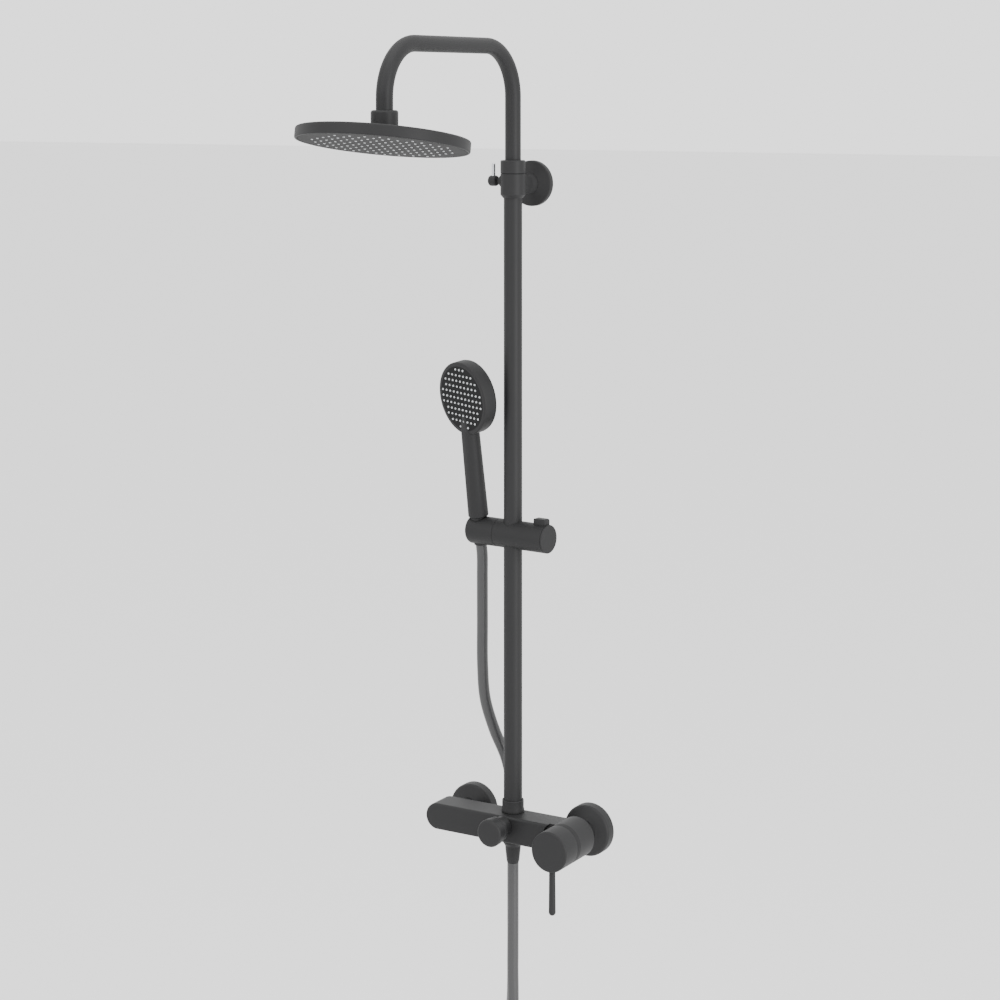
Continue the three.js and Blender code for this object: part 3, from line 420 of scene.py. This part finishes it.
# %% The skin
def skin(name, line, radius, sides=24):
    """A closed tube along a line, its UV map running round and along it in metres."""
    bm = bmesh.new()
    uv_layer = bm.loops.layers.uv.new("along")
    across = Vector((1, 0, 0))
    rings, run = [], [0.0]
    for i, point in enumerate(line):
        ahead = (line[min(i + 1, len(line) - 1)] - line[max(i - 1, 0)]).normalized()
        across = (across - ahead * across.dot(ahead)).normalized()
        side = ahead.cross(across)
        turn = [2 * math.pi * k / sides for k in range(sides)]
        rings.append([bm.verts.new(point + radius * (math.cos(a) * across + math.sin(a) * side))
                      for a in turn])
        if i:
            run.append(run[-1] + (point - line[i - 1]).length)
    for i in range(len(line) - 1):
        for k in range(sides):
            n = (k + 1) % sides
            face = bm.faces.new([rings[i][k], rings[i][n], rings[i + 1][n], rings[i + 1][k]])
            spots = [(k, i), (k + 1, i), (k + 1, i + 1), (k, i + 1)]
            for loop, (u, v) in zip(face.loops, spots):
                loop[uv_layer].uv = (u / sides, run[v])
    bm.faces.new(rings[0])
    bm.faces.new(rings[-1])
    return piece(name, bm)


hose = skin("hose_skin", hose_line, HOSE_RADIUS)
stands_for(hose, "hose", rides=False)
ridges = hose_black.node_tree.nodes
wave = ridges.new("ShaderNodeTexWave")
wave.bands_direction = "Y"
wave.inputs["Scale"].default_value = 110
along = ridges.new("ShaderNodeUVMap")
along.uv_map = "along"
rib_bump = ridges.new("ShaderNodeBump")
rib_bump.inputs["Strength"].default_value = 0.12
rib_bump.inputs["Distance"].default_value = mm(0.05)
hose_links = hose_black.node_tree.links
hose_links.new(along.outputs["UV"], wave.inputs["Vector"])
hose_links.new(wave.outputs["Fac"], rib_bump.inputs["Height"])
grain = next(n for n in ridges if n.type == "BUMP" and n != rib_bump)
hose_links.new(rib_bump.outputs["Normal"], grain.inputs["Normal"])

# %% [markdown]
# The nuts at its ends are turned: a domed hexless nut under the mixer that narrows to a
# ferrule, and the long cone that sits in the holder.

# %% Hose nuts
LOW_NUT_TOP = mm(-11.3)
lower_nut = turned("hose_nut_low", [
    (5, 0), (12, 0), (12, -5), (9.4, -9), (9, -14), (7.6, -27), (7, -29), (5, -29),
], upright(0, COLUMN_Y, LOW_NUT_TOP), ease=0.8)
stands_for(lower_nut, "hose_lower_nut")
cone_nut = turned("hose_nut_cone", [
    (5, -17.25), (8.4, -17.25), (9.59, 16.95), (6.9, 16.95), (6.9, 1), (5, 1),
], cone, ease=0.5)
stands_for(cone_nut, "hose_cone_nut")
[tuple(p) for p in hose_line]
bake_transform(hose)

# %% [markdown]
# ## Wall inlets
# Two rosettes cover the holes in the wall. Behind each, a brass union screws into the wall, and a
# chamfered hexagon nut pulls the mixer onto it. A hexagon nut is a hexagonal bar whose corners are turned
# off by a cone, so the bar and the turned blank are intersected.

# %% Rosettes, unions and nuts
def thread(radius, depth, start, end, pitch):
    """Profile points of a run of thread, drawn as close V grooves."""
    count = round(abs(end - start) / pitch)
    step = (end - start) / count
    points = []
    for k in range(count):
        points += [(radius, start + step * k), (radius - depth, start + step * (k + 0.5))]
    return [*points, (radius, end)]


def inlet(side, x):
    place = outward(x, 0)
    rosette = turned(f"rosette_{side}", [
        (24, 0), (30, 0), *arc(26, 11, 4, 0, 70), (18, 18), (15, 20), (13.3, 20), (13.3, 13), (24, 8),
    ], place, 128, ease=0.4)
    stands_for(rosette, f"{side}_wall_flange")
    union = turned(f"union_{side}", [
        (7, -20), (9.4, -20), *thread(10.3, 0.9, -19, -1, 1.8), (10.3, 0), (13, 2), (13, 35.7), (7, 35.7),
    ], place, ease=0)
    stands_for(union, f"{side}_wall_union")
    nut = turned(f"union_nut_{side}", [(0, 20.3), (17, 20.3), (17, 35.7), (0, 35.7)], place, 6,
                 ease=0, twist=math.pi / 2)
    blank = turned("nut_blank", [
        (0, 20.3), (14.9, 20.3), (17.01, 21.5), (17.01, 34.5), (14.9, 35.7), (0, 35.7),
    ], place, 72, ease=0)
    carve(nut, commons=[blank], cuts=[rod("nut_bore", 13.3, 15, 40, place)])
    stands_for(nut, f"{side}_union_nut")


inlet("left", -LEVER_X)
inlet("right", LEVER_X)

# %% [markdown]
# ## The mixer body
# The body is a cast bar with a round left end and softly broken edges, and it runs into the round
# housing of the cartridge. The bar is built as layers of one outline, each drawn in a little at the front
# and back, which gives the soft edge. Then the housing is joined on and the waterways are bored.

# %% The bar
def bar_layer(inset):
    half = mm(15.5) - inset
    left = mm(-108.5 + 15.5)
    angles = [math.radians(90 + 180 * k / 32) for k in range(33)]
    round_end = [(left + half * math.cos(a), half * math.sin(a)) for a in angles]
    return [(LEVER_X, half), *round_end, (LEVER_X, -half)]


def bar(edge):
    bm = bmesh.new()
    rounding = [(edge * (1 - math.sin(a)), edge * (1 - math.cos(a)))
                for a in (math.radians(90 * k / 6) for k in range(7))]
    layers = [(BODY_BACK + depth, inset) for inset, depth in rounding]
    layers += [(BODY_BACK + edge * 1.2, 0), (BODY_FRONT - edge * 1.2, 0)]
    layers += [(BODY_FRONT - depth, inset) for inset, depth in reversed(rounding)]
    centre = (BODY_TOP + BODY_BOTTOM) / 2
    rings = [[bm.verts.new((x, -y, z + centre)) for x, z in bar_layer(inset)] for y, inset in layers]
    for near, far in zip(rings, rings[1:]):
        for k in range(len(near)):
            n = (k + 1) % len(near)
            bm.faces.new([near[k], near[n], far[n], far[k]])
    caps = [bm.faces.new(rings[0]), bm.faces.new(rings[-1])]
    bmesh.ops.triangulate(bm, faces=caps)
    return piece("mixer_casting", bm)


casting = bar(mm(2.5))
lever_side = outward(LEVER_X, 0)
left_side = outward(-LEVER_X, 0)
SHOULDER = 69.3
RELIEF_RADIUS, RELIEF_FLOOR = 27.68, 66.52
relief = rod("relief", RELIEF_RADIUS, RELIEF_FLOOR, 104, lever_side, 96)
housing = rod("housing", 23.3, 36, SHOULDER, lever_side, 96, ease=0.5)
carve(casting, cuts=[relief])
carve(casting, joins=[housing], cuts=[
    rod("cartridge_bay", 17.8, 46, 104, lever_side),
    rod("right_port", 7, 30, 47, lever_side),
    rod("right_seat", 12, 30, 38, lever_side),
    rod("left_port", 7, 30, 55.5, left_side),
    rod("left_seat", 12, 30, 38, left_side),
    rod("through_bore", 8, -30, 30, upright(0, COLUMN_Y, 0)),
    rod("diverter_bay", 9, 48.5, 80, outward(0, mm(8.5))),
])
stands_for(casting, "mixer_body")

# %% [markdown]
# ## Lever and diverter
# The lever's cap swings on a domed cover, so a thin dark gap shows between cap and housing. A slim
# pin with a rounded tip hangs from the cap. The diverter is a smaller button with a groove round it.

# %% Lever
DOME = 23.53
PIVOT = 66
dome_angle = lambda depth: math.degrees(math.asin((depth - PIVOT) / DOME))
cover = turned("cartridge_dome", [
    (14.5, 66.8), (17.5, 66.8), (17.5, SHOULDER + 0.3),
    *arc(0, PIVOT, DOME, dome_angle(SHOULDER + 0.3), dome_angle(80.5), 12),
    (11, 80.5), (11, 77.5), (14.5, 74.5),
], lever_side, ease=0)
stands_for(cover, "cartridge_cover")
cap = turned("lever_cap_shell", [
    (0, 103.7), (20.8, 103.3), *arc(21.3, 101.3, 2, 80, 0, 6), (23.3, 76), (21.8, 76), (20.8, 83.5),
    (21.3, 100.3),
    (8, 100.3), (8, 86.7), (4.3, 86.7), (4.3, 99.1), (0, 99.1),
], lever_side, 128, ease=0.35)
pin_place = upright(LEVER_X, mm(-94.7), 0)
carve(cap, cuts=[rod("pin_hole", 4, -26, -7, pin_place, 48)])
stands_for(cap, "lever_cap")
pin = turned("lever_rod", [
    (0, -7.5), (3.7, -7.5), (3.7, -31.3), (4.1, -70.9), *arc(0, -70.9, 4.1, -8, -90, 8),
], pin_place, 48, ease=0)
stands_for(pin, "lever_pin")

# %% Diverter
DIVERTER_Z = mm(8.5)
knob = turned("diverter_button", [
    (0, 106), (11.5, 105.4), *arc(12.5, 101.8, 3.5, 75, 0, 8), (15.7, 94), (14.4, 92.5), (14.4, 91),
    (15.1, 89.5),
    (14.6, 85), (13, 85), (13, 88), (3.3, 88), (3.3, 101.4), (0, 101.4),
], outward(0, DIVERTER_Z), 96, ease=0.4)
stands_for(knob, "diverter_knob")
bonnet = turned("diverter_neck", [
    (3.3, 64), (8.7, 64), (8.7, 72.3), (12, 72.3), (11, 87), (3.3, 87),
], outward(0, DIVERTER_Z), ease=0.4)
stands_for(bonnet, "diverter_bonnet")

# %% [markdown]
# ## The column
# The lower tube stands on the mixer in a small flared nut. The upper tube, the riser, slides inside
# it, and a wall bracket holds the two where they meet.

# %% Lower tube and nut
column_place = upright(0, COLUMN_Y, 0)
column_nut = turned("column_foot_nut", [
    (11.3, 20.3), (13.5, 20.3), (13.5, 23), (12.9, 24.5), (12.9, 33.9), (12.3, 34.5), (11.3, 34.5),
], column_place, ease=0.3)
stands_for(column_nut, "column_nut")
lower_tube = pipe("column_tube", 9.8, 11, 20.3, 777.7, column_place, 64)
stands_for(lower_tube, "lower_tube")

# %% [markdown]
# The riser is one tube with two bends of the same radius. That is a rule, so Geometry Nodes draw
# it: a bare line with four corners, its corners filleted, and a round section swept along it. The
# corner points are the only shape given.

# %% Node helpers
def node_tree(name, inputs):
    """A geometry node tree with named inputs; returns it with its group nodes and socket names."""
    tree = bpy.data.node_groups.new(name, "GeometryNodeTree")
    tree.is_modifier = True
    tree.interface.new_socket(name="Geometry", in_out="INPUT", socket_type="NodeSocketGeometry")
    tree.interface.new_socket(name="Geometry", in_out="OUTPUT", socket_type="NodeSocketGeometry")
    identifiers = {}
    for label, kind in inputs.items():
        socket = tree.interface.new_socket(name=label, in_out="INPUT", socket_type=f"NodeSocket{kind}")
        identifiers[label] = socket.identifier
    return tree, tree.nodes.new("NodeGroupInput"), tree.nodes.new("NodeGroupOutput"), identifiers


def grown(made, tree, identifiers, values, place):
    """Runs a tree on an object with the given inputs, and keeps the result as a plain mesh."""
    modifier = made.modifiers.new(tree.name, "NODES")
    modifier.node_group = tree
    for label, value in values.items():
        modifier[identifiers[label]] = value
    plain(made)
    made.data.transform(place)
    return made


# %% The bent riser
tree, given, result, tube_inputs = node_tree(
    "bent_tube", {"Tube radius": "Float", "Bend radius": "Float", "Bend steps": "Int", "Finish": "Material"})
add, link = tree.nodes.new, tree.links.new
as_curve = add("GeometryNodeMeshToCurve")
fillet = add("GeometryNodeFilletCurve")
fillet.mode = "POLY"
section = add("GeometryNodeCurvePrimitiveCircle")
section.inputs["Resolution"].default_value = 64
swept = add("GeometryNodeCurveToMesh")
swept.inputs["Fill Caps"].default_value = True
realize, dress = add("GeometryNodeRealizeInstances"), add("GeometryNodeSetMaterial")
link(given.outputs["Geometry"], as_curve.inputs["Mesh"])
link(as_curve.outputs["Curve"], fillet.inputs["Curve"])
link(given.outputs["Bend radius"], fillet.inputs["Radius"])
link(given.outputs["Bend steps"], fillet.inputs["Count"])
link(given.outputs["Tube radius"], section.inputs["Radius"])
link(fillet.outputs["Curve"], swept.inputs["Curve"])
link(section.outputs["Curve"], swept.inputs["Profile Curve"])
link(swept.outputs["Mesh"], realize.inputs["Geometry"])
link(realize.outputs["Geometry"], dress.inputs["Geometry"])
link(given.outputs["Finish"], dress.inputs["Material"])
link(dress.outputs["Geometry"], result.inputs["Geometry"])

corners = [(0, COLUMN_Y, mm(470)), (0, COLUMN_Y, RISER_TOP), (0, ARM_Y, RISER_TOP), (0, ARM_Y, mm(852.5))]
riser_line = bpy.data.meshes.new("riser_bend")
riser_line.from_pydata(corners, [(0, 1), (1, 2), (2, 3)], [])
riser = bpy.data.objects.new("riser_bend", riser_line)
bpy.context.collection.objects.link(riser)
grown(riser, tree, tube_inputs, {
    "Tube radius": RISER_RADIUS, "Bend radius": mm(60), "Bend steps": 32, "Finish": powder_coat,
}, Matrix.Identity(4))
sharpen(riser.data)
stands_for(riser, "riser_tube")

# %% [markdown]
# ## The wall bracket
# A sleeve clamps the lower tube, a neck reaches back to a round wall plate, and a small lock screw
# on the left sets the riser's height. Its grip is a pin of satin chrome, the one bare metal thing here.

# %% Bracket
BRACKET = BRACKET_Z * 1000
sleeve = turned("bracket_sleeve", [
    (11.3, BRACKET - 16), (11.8, BRACKET - 16), (15, BRACKET - 12), (15, BRACKET + 12.6),
    (14.6, BRACKET + 13),
    (11.3, BRACKET + 13),
], column_place, ease=0.3)
neck = turned("neck", [
    (0, 5), (9.5, 5), (9.5, 11.3), (12.8, 11.3), (12.6, 12.8), (10.3, 16.3), (9.5, 20.3), (9.5, 36), (0, 36),
], outward(0, BRACKET_Z), ease=0)
lock_place = upright(0, COLUMN_Y, mm(BRACKET + 4)) @ Matrix.Rotation(-math.pi / 2, 4, "Y")
boss = turned("boss", [(0, 12.5), (8.2, 12.5), (8.2, 14.4), (4.4, 19), (0, 19)], lock_place, 64, ease=0.4)
carve(sleeve, joins=[neck, boss], cuts=[
    rod("clamp_bore", 11.3, BRACKET - 30, BRACKET + 30, column_place, 96),
    rod("screw_bore", 2.9, 0, 22, lock_place),
    rod("stud_bore", 3.3, 0, 22, outward(0, BRACKET_Z)),
])
stands_for(sleeve, "bracket_clamp")
top_ring = turned("bracket_cap_ring", [
    (9.8, BRACKET + 16.3), (12.3, BRACKET + 16.3), (12.3, BRACKET + 13.3), (14.6, BRACKET + 13.3),
    (15, BRACKET + 13.7), (15, BRACKET + 27.8), (13.8, BRACKET + 29), (9.8, BRACKET + 29),
], column_place, ease=0.3)
stands_for(top_ring, "bracket_top_ring")
wall_plate = turned("bracket_rosette", [
    (21.6, 0), (27.6, 0), *arc(25.6, 5, 2, 0, 75), (13.9, 10.4), (13.1, 11), (9.8, 11), (9.8, 7.5), (21.6, 4),
], outward(0, BRACKET_Z), 128, ease=0.3)
stands_for(wall_plate, "bracket_wall_plate")
stud = turned("bracket_screw", [
    (0, -30), *thread(3, 0.6, -29, -2, 1.5), (3, 20), (0, 20),
], outward(0, BRACKET_Z), 32, ease=0)
stands_for(stud, "bracket_stud")
base = pipe("bracket_base_ring", 3.3, 15, 0, 4, outward(0, BRACKET_Z))
stands_for(base, "bracket_base")

# %% Lock screw and pin
bulb = turned("lock_bulb", [
    (0, 11.5), (2.6, 11.5), (2.6, 20.6), *arc(3.8, 24, 2.6, -70, 0), *arc(3.4, 29.6, 3, 0, 80), (0, 32.7),
], lock_place, 64, ease=0)
lock_pin_place = upright(mm(-27), COLUMN_Y, mm(BRACKET + 4))
carve(bulb, cuts=[rod("pin_bore", 2.5, 3, 9, lock_pin_place, 32)])
stands_for(bulb, "lock_screw")
lock_pin = turned("lock_bright_pin", [
    (0, 3.3), (2.2, 3.3), (2.2, 20.1), (1, 21.3), (0, 21.3),
], lock_pin_place, 48, ease=0.5)
stands_for(lock_pin, "lock_pin")

# %% [markdown]
# ## The overhead shower
# The shower hangs on a ball in a collar. Its shell is a shallow pan, and a separate face closes it
# from below, with a fine shadow line where the two meet.

# %% Collar, ball, shell and face
ball_place = upright(0, ARM_Y, BALL_Z)
SOCKET = 9.85
collar = turned("ball_collar", [
    (8.3, -6.5), (14.35, -6.5), (15.15, -5.7), *arc(12.15, 10.5, 3, 0, 80), (9.8, 13.5), (9.8, 0.5),
    *arc(0, 0, SOCKET, 0, -math.degrees(math.acos(7.9 / SOCKET)), 10),
], ball_place, ease=0.25)
stands_for(collar, "head_collar")
ball = turned("ball", [
    *arc(0, 0, 9.5, math.degrees(math.acos(3 / 9.5)), -math.degrees(math.acos(4.6 / 9.5)), 20),
    (4.6, -16.4), (3, -16.4),
], overhead, 72, ease=0)
stands_for(ball, "head_ball")
FACE_Z = -25.9
shell = turned("overhead_shell", [
    (4.9, -10.8), (6.9, -10.8), (7.5, -11.4), (9.5, -12.2), (84, -12.5), *arc(93.6, -15.4, 2.4, 80, 0),
    (96, FACE_Z + 1), (95, FACE_Z), (93, FACE_Z), (93, FACE_Z + 2.8), (91, FACE_Z + 2.8),
    (91, -17.9), (84, -14.4), (4.9, -14.4),
], overhead, 192, ease=0.4)
stands_for(shell, "head_shell")
face = turned("overhead_face", [
    (0, FACE_Z + 2.5), (92.7, FACE_Z + 2.5), (92.7, FACE_Z + 0.4), (92.3, FACE_Z), (0, FACE_Z),
], overhead, 192, ease=0.3)
stands_for(face, "head_face", material=face_black)

# %% [markdown]
# ## Spray nozzles
# Both spray faces carry soft nozzles in straight rows. One Geometry Nodes tree sets out both: a square
# grid of points is leaned, stretched, trimmed to a circle and turned, with a small nozzle on each.
# The overhead shower's rows are skewed, so its grid leans and stretches. The handset's doesn't.

# %% One nozzle
def nozzle(name, base, tip, height):
    return turned(name, [
        (0, 0), (base, 0), (tip + 0.1, height * 0.8), (tip - 0.1, height), (0.42, height),
        (0.35, height - 0.4),
        (0, height - 0.45),
    ], Matrix.Identity(4), 12, ease=0)


# %% The spray pattern tree
tree, given, result, spray_inputs = node_tree("spray_rows", {
    "Nozzles across": "Int", "Pitch": "Float", "Field radius": "Float", "Turn": "Float",
    "Lean": "Float", "Stretch": "Float",
    "Nozzle": "Object", "Finish": "Material"})
add, link = tree.nodes.new, tree.links.new
gaps = add("ShaderNodeMath")
gaps.operation = "SUBTRACT"
gaps.inputs[1].default_value = 1
side_length = add("ShaderNodeMath")
side_length.operation = "MULTIPLY"
rows = add("GeometryNodeMeshGrid")
here, distance = add("GeometryNodeInputPosition"), add("ShaderNodeVectorMath")
distance.operation = "LENGTH"
outside = add("FunctionNodeCompare")
outside.operation = "GREATER_THAN"
trim = add("GeometryNodeDeleteGeometry")
angle, turn_rows = add("ShaderNodeCombineXYZ"), add("GeometryNodeTransform")
lean_angle, lean_rows = add("ShaderNodeCombineXYZ"), add("GeometryNodeTransform")
stretch_by, stretch_rows = add("ShaderNodeCombineXYZ"), add("GeometryNodeTransform")
stretch_by.inputs["Y"].default_value = stretch_by.inputs["Z"].default_value = 1
one, spread = add("GeometryNodeObjectInfo"), add("GeometryNodeInstanceOnPoints")
realize, dress = add("GeometryNodeRealizeInstances"), add("GeometryNodeSetMaterial")
link(given.outputs["Nozzles across"], gaps.inputs[0])
link(gaps.outputs[0], side_length.inputs[0])
link(given.outputs["Pitch"], side_length.inputs[1])
for edge in ("X", "Y"):
    link(side_length.outputs[0], rows.inputs[f"Size {edge}"])
    link(given.outputs["Nozzles across"], rows.inputs[f"Vertices {edge}"])
link(here.outputs["Position"], distance.inputs[0])
link(distance.outputs["Value"], outside.inputs["A"])
link(given.outputs["Field radius"], outside.inputs["B"])
link(given.outputs["Lean"], lean_angle.inputs["Z"])
link(rows.outputs["Mesh"], lean_rows.inputs["Geometry"])
link(lean_angle.outputs["Vector"], lean_rows.inputs["Rotation"])
link(given.outputs["Stretch"], stretch_by.inputs["X"])
link(lean_rows.outputs["Geometry"], stretch_rows.inputs["Geometry"])
link(stretch_by.outputs["Vector"], stretch_rows.inputs["Scale"])
link(stretch_rows.outputs["Geometry"], trim.inputs["Geometry"])
link(outside.outputs["Result"], trim.inputs["Selection"])
link(given.outputs["Turn"], angle.inputs["Z"])
link(trim.outputs["Geometry"], turn_rows.inputs["Geometry"])
link(angle.outputs["Vector"], turn_rows.inputs["Rotation"])
link(given.outputs["Nozzle"], one.inputs["Object"])
link(turn_rows.outputs["Geometry"], spread.inputs["Points"])
link(one.outputs["Geometry"], spread.inputs["Instance"])
link(spread.outputs["Instances"], realize.inputs["Geometry"])
link(realize.outputs["Geometry"], dress.inputs["Geometry"])
link(given.outputs["Finish"], dress.inputs["Material"])
link(dress.outputs["Geometry"], result.inputs["Geometry"])

# %% Both spray faces
def spray(name, body, across, pitch, field, turn, size, place, lean=0.0, stretch=1.0):
    one_nozzle = nozzle(f"{name}_one", *size)
    mesh = bpy.data.meshes.new(name)
    made = bpy.data.objects.new(name, mesh)
    bpy.context.collection.objects.link(made)
    grown(made, tree, spray_inputs, {
        "Nozzles across": across, "Pitch": mm(pitch), "Field radius": mm(field), "Turn": turn,
        "Lean": lean, "Stretch": stretch,
        "Nozzle": one_nozzle, "Finish": pale_silicone,
    }, place)
    bpy.data.objects.remove(one_nozzle)
    sharpen(made.data)
    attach(made, body)
    print(name, len(made.data.polygons), "faces")
    return made


under_head = overhead @ upright(0, 0, mm(FACE_Z)) @ Matrix.Rotation(math.pi, 4, "X")
spray("overhead_nozzles", "head", 19, 10.1, 82.6, math.radians(-28.5), (1.35, 1.05, 0.6), under_head,
      lean=math.radians(28), stretch=1.84)
REACH, FRONT = 164, 8
hand_face = grip @ Matrix.Translation((0, mm(-FRONT), mm(REACH))) @ Matrix.Rotation(math.pi / 2, 4, "X")
spray("handset_nozzles", "handset", 11, 7, 5.2 * 7, 0, (1.3, 1.0, 1.0), hand_face)

# %% [markdown]
# ## The sliding holder
# A short barrel rides on the column. Its right half holds a sprung brake that the small tab
# releases, and its left end is a cradle that tilts with the handset.

# %% Barrel, end cap and tab
across_holder = holder @ sideways
BARREL = 16.75
barrel = turned("holder_barrel", [
    (0, -19.7), (BARREL, -19.7), (BARREL, 50), (0, 50),
], across_holder, 128, ease=0.4)
slot_box = bmesh.new()
bmesh.ops.create_cube(slot_box, size=1)
SLOT_START = 50 - 16.5 - 0.6
slot_cut = piece("slot_cut", slot_box, holder @ upright(mm(SLOT_START + 9.25), 0, mm(BARREL / 2 + 7))
                 @ Matrix.Diagonal((mm(18.5), mm(10.6), mm(BARREL), 1)))
carve(barrel, cuts=[
    rod("column_way", 11.3, -20, 20, holder, 96),
    rod("plunger_way", 8.3, 7.3, 51, across_holder),
    rod("axle_way", 5.3, -21, -14.7, across_holder),
    rod("liner_seat", 12.3, -11.1, -8.1, holder, 64),
    slot_cut,
])
stands_for(barrel, "slider_housing")
end_cap = turned("holder_end_cap", [
    (0, 46), (8, 46), (8, 50.3), (16.75, 50.3), (16.75, 51.5), (16.25, 52), (0, 52),
], across_holder, 128, ease=0.3)
stands_for(end_cap, "slider_end_cap")

tab_mesh = bmesh.new()
TAB = [(33.2, 11), (49.7, 11), *arc(47.2, 20.75, 2.5, 0, 90, 6), *arc(34.4, 22.05, 1.2, 90, 180, 4)]
front = [tab_mesh.verts.new((mm(x), mm(-5), mm(z))) for x, z in TAB]
back = [tab_mesh.verts.new((mm(x), mm(5), mm(z))) for x, z in TAB]
tab_mesh.faces.new(front)
tab_mesh.faces.new(list(reversed(back)))
for k in range(len(TAB)):
    n = (k + 1) % len(TAB)
    tab_mesh.faces.new([front[k], back[k], back[n], front[n]])
tab = piece("release_button", tab_mesh, holder)
soft_edge = tab.modifiers.new("soft_edge", "BEVEL")
soft_edge.width, soft_edge.segments, soft_edge.angle_limit = mm(0.4), 3, math.radians(50)
plain(tab)
sharpen(tab.data)
stands_for(tab, "release_tab")

# %% Cradle
cradle = turned("holder_cradle", [
    (0, -61), *arc(12.75, -57, 4, -90, 0, 10), (16.75, -20.3), (16.45, -20), (0, -20),
], across_holder, 128, ease=0)
cone_radius = lambda height: 8.4 + 1.2 * (height + 17.25) / 34.5 + 0.3
carve(cradle, cuts=[
    turned("cone_way", [(0, -22), (cone_radius(-22), -22), (cone_radius(22), 22), (0, 22)], cone, 96, ease=0),
    rod("axle_socket", 5.3, -33.3, -19, across_holder),
])
stands_for(cradle, "cradle")

# %% [markdown]
# ## The handset
# A slim handle with a flat front grows into a round head. The head's rim is thick and rounded, and
# the spray face sits in a recess. Handle and head are separate turned shapes joined by a boolean.

# %% Handset body and face
across_face = grip @ Matrix.Translation((0, 0, mm(REACH))) @ Matrix.Rotation(math.pi / 2, 4, "X")
handle = turned("handset_shell", [
    (0, 4), (6.7, 4), (6.7, 17.25), (11.25, 17.25), (12.25, 18.45),
    (11, REACH - 40), (8, REACH - 18), (0, REACH - 18),
], grip, 96, ease=0.6)
flat_box = bmesh.new()
bmesh.ops.create_cube(flat_box, size=1)
FLAT_FOOT, FLAT_RUN, FLAT_DEPTH = 27.25, REACH - 44 - 27.25, 2.85
flat_cut = piece("flat_cut", flat_box, grip @ upright(0, 0, mm(FLAT_FOOT))
                 @ Matrix.Rotation(-math.atan(FLAT_DEPTH / FLAT_RUN), 4, "X")
                 @ upright(0, mm(-22.25), mm(FLAT_RUN))
                 @ Matrix.Diagonal((mm(40), mm(20), mm(2 * FLAT_RUN), 1)))
carve(handle, cuts=[flat_cut])
hand_head = turned("hand_head", [
    (0, -13.5), (32, -13.5), (40, -12.3), (43.2, -10), (44, -7), *arc(42, 6, 2, 0, 80, 6), (0, 8),
], across_face, 128, ease=1.5)
carve(handle, joins=[hand_head], cuts=[
    rod("face_recess", 40, 5.3, 12, across_face, 128),
    rod("chamber", 35, -9.5, 8, across_face, 96),
    rod("waterway", 5.1, 3, REACH - 24, grip, 48),
])
stands_for(handle, "handset_body")
hand_plate = turned("handset_spray_face", [
    (0, 5.6), (39.7, 5.6), (39.7, 7.6), (39.3, 8), (0, 8),
], across_face, 128, ease=0.3)
stands_for(hand_plate, "handset_face", material=face_black)

# %% [markdown]
# ## What stays as it was measured
# Springs, washers, seals and the cartridge are inside, and their measured shapes are right. They only
# need the finish of their real material.

# %% Inner pieces
for node, made in frame["nodes"].items():
    made.data.materials.clear()
    made.data.materials.append(inner_finish[slot_of[node]])
print(len(frame["nodes"]), "frame nodes dressed")
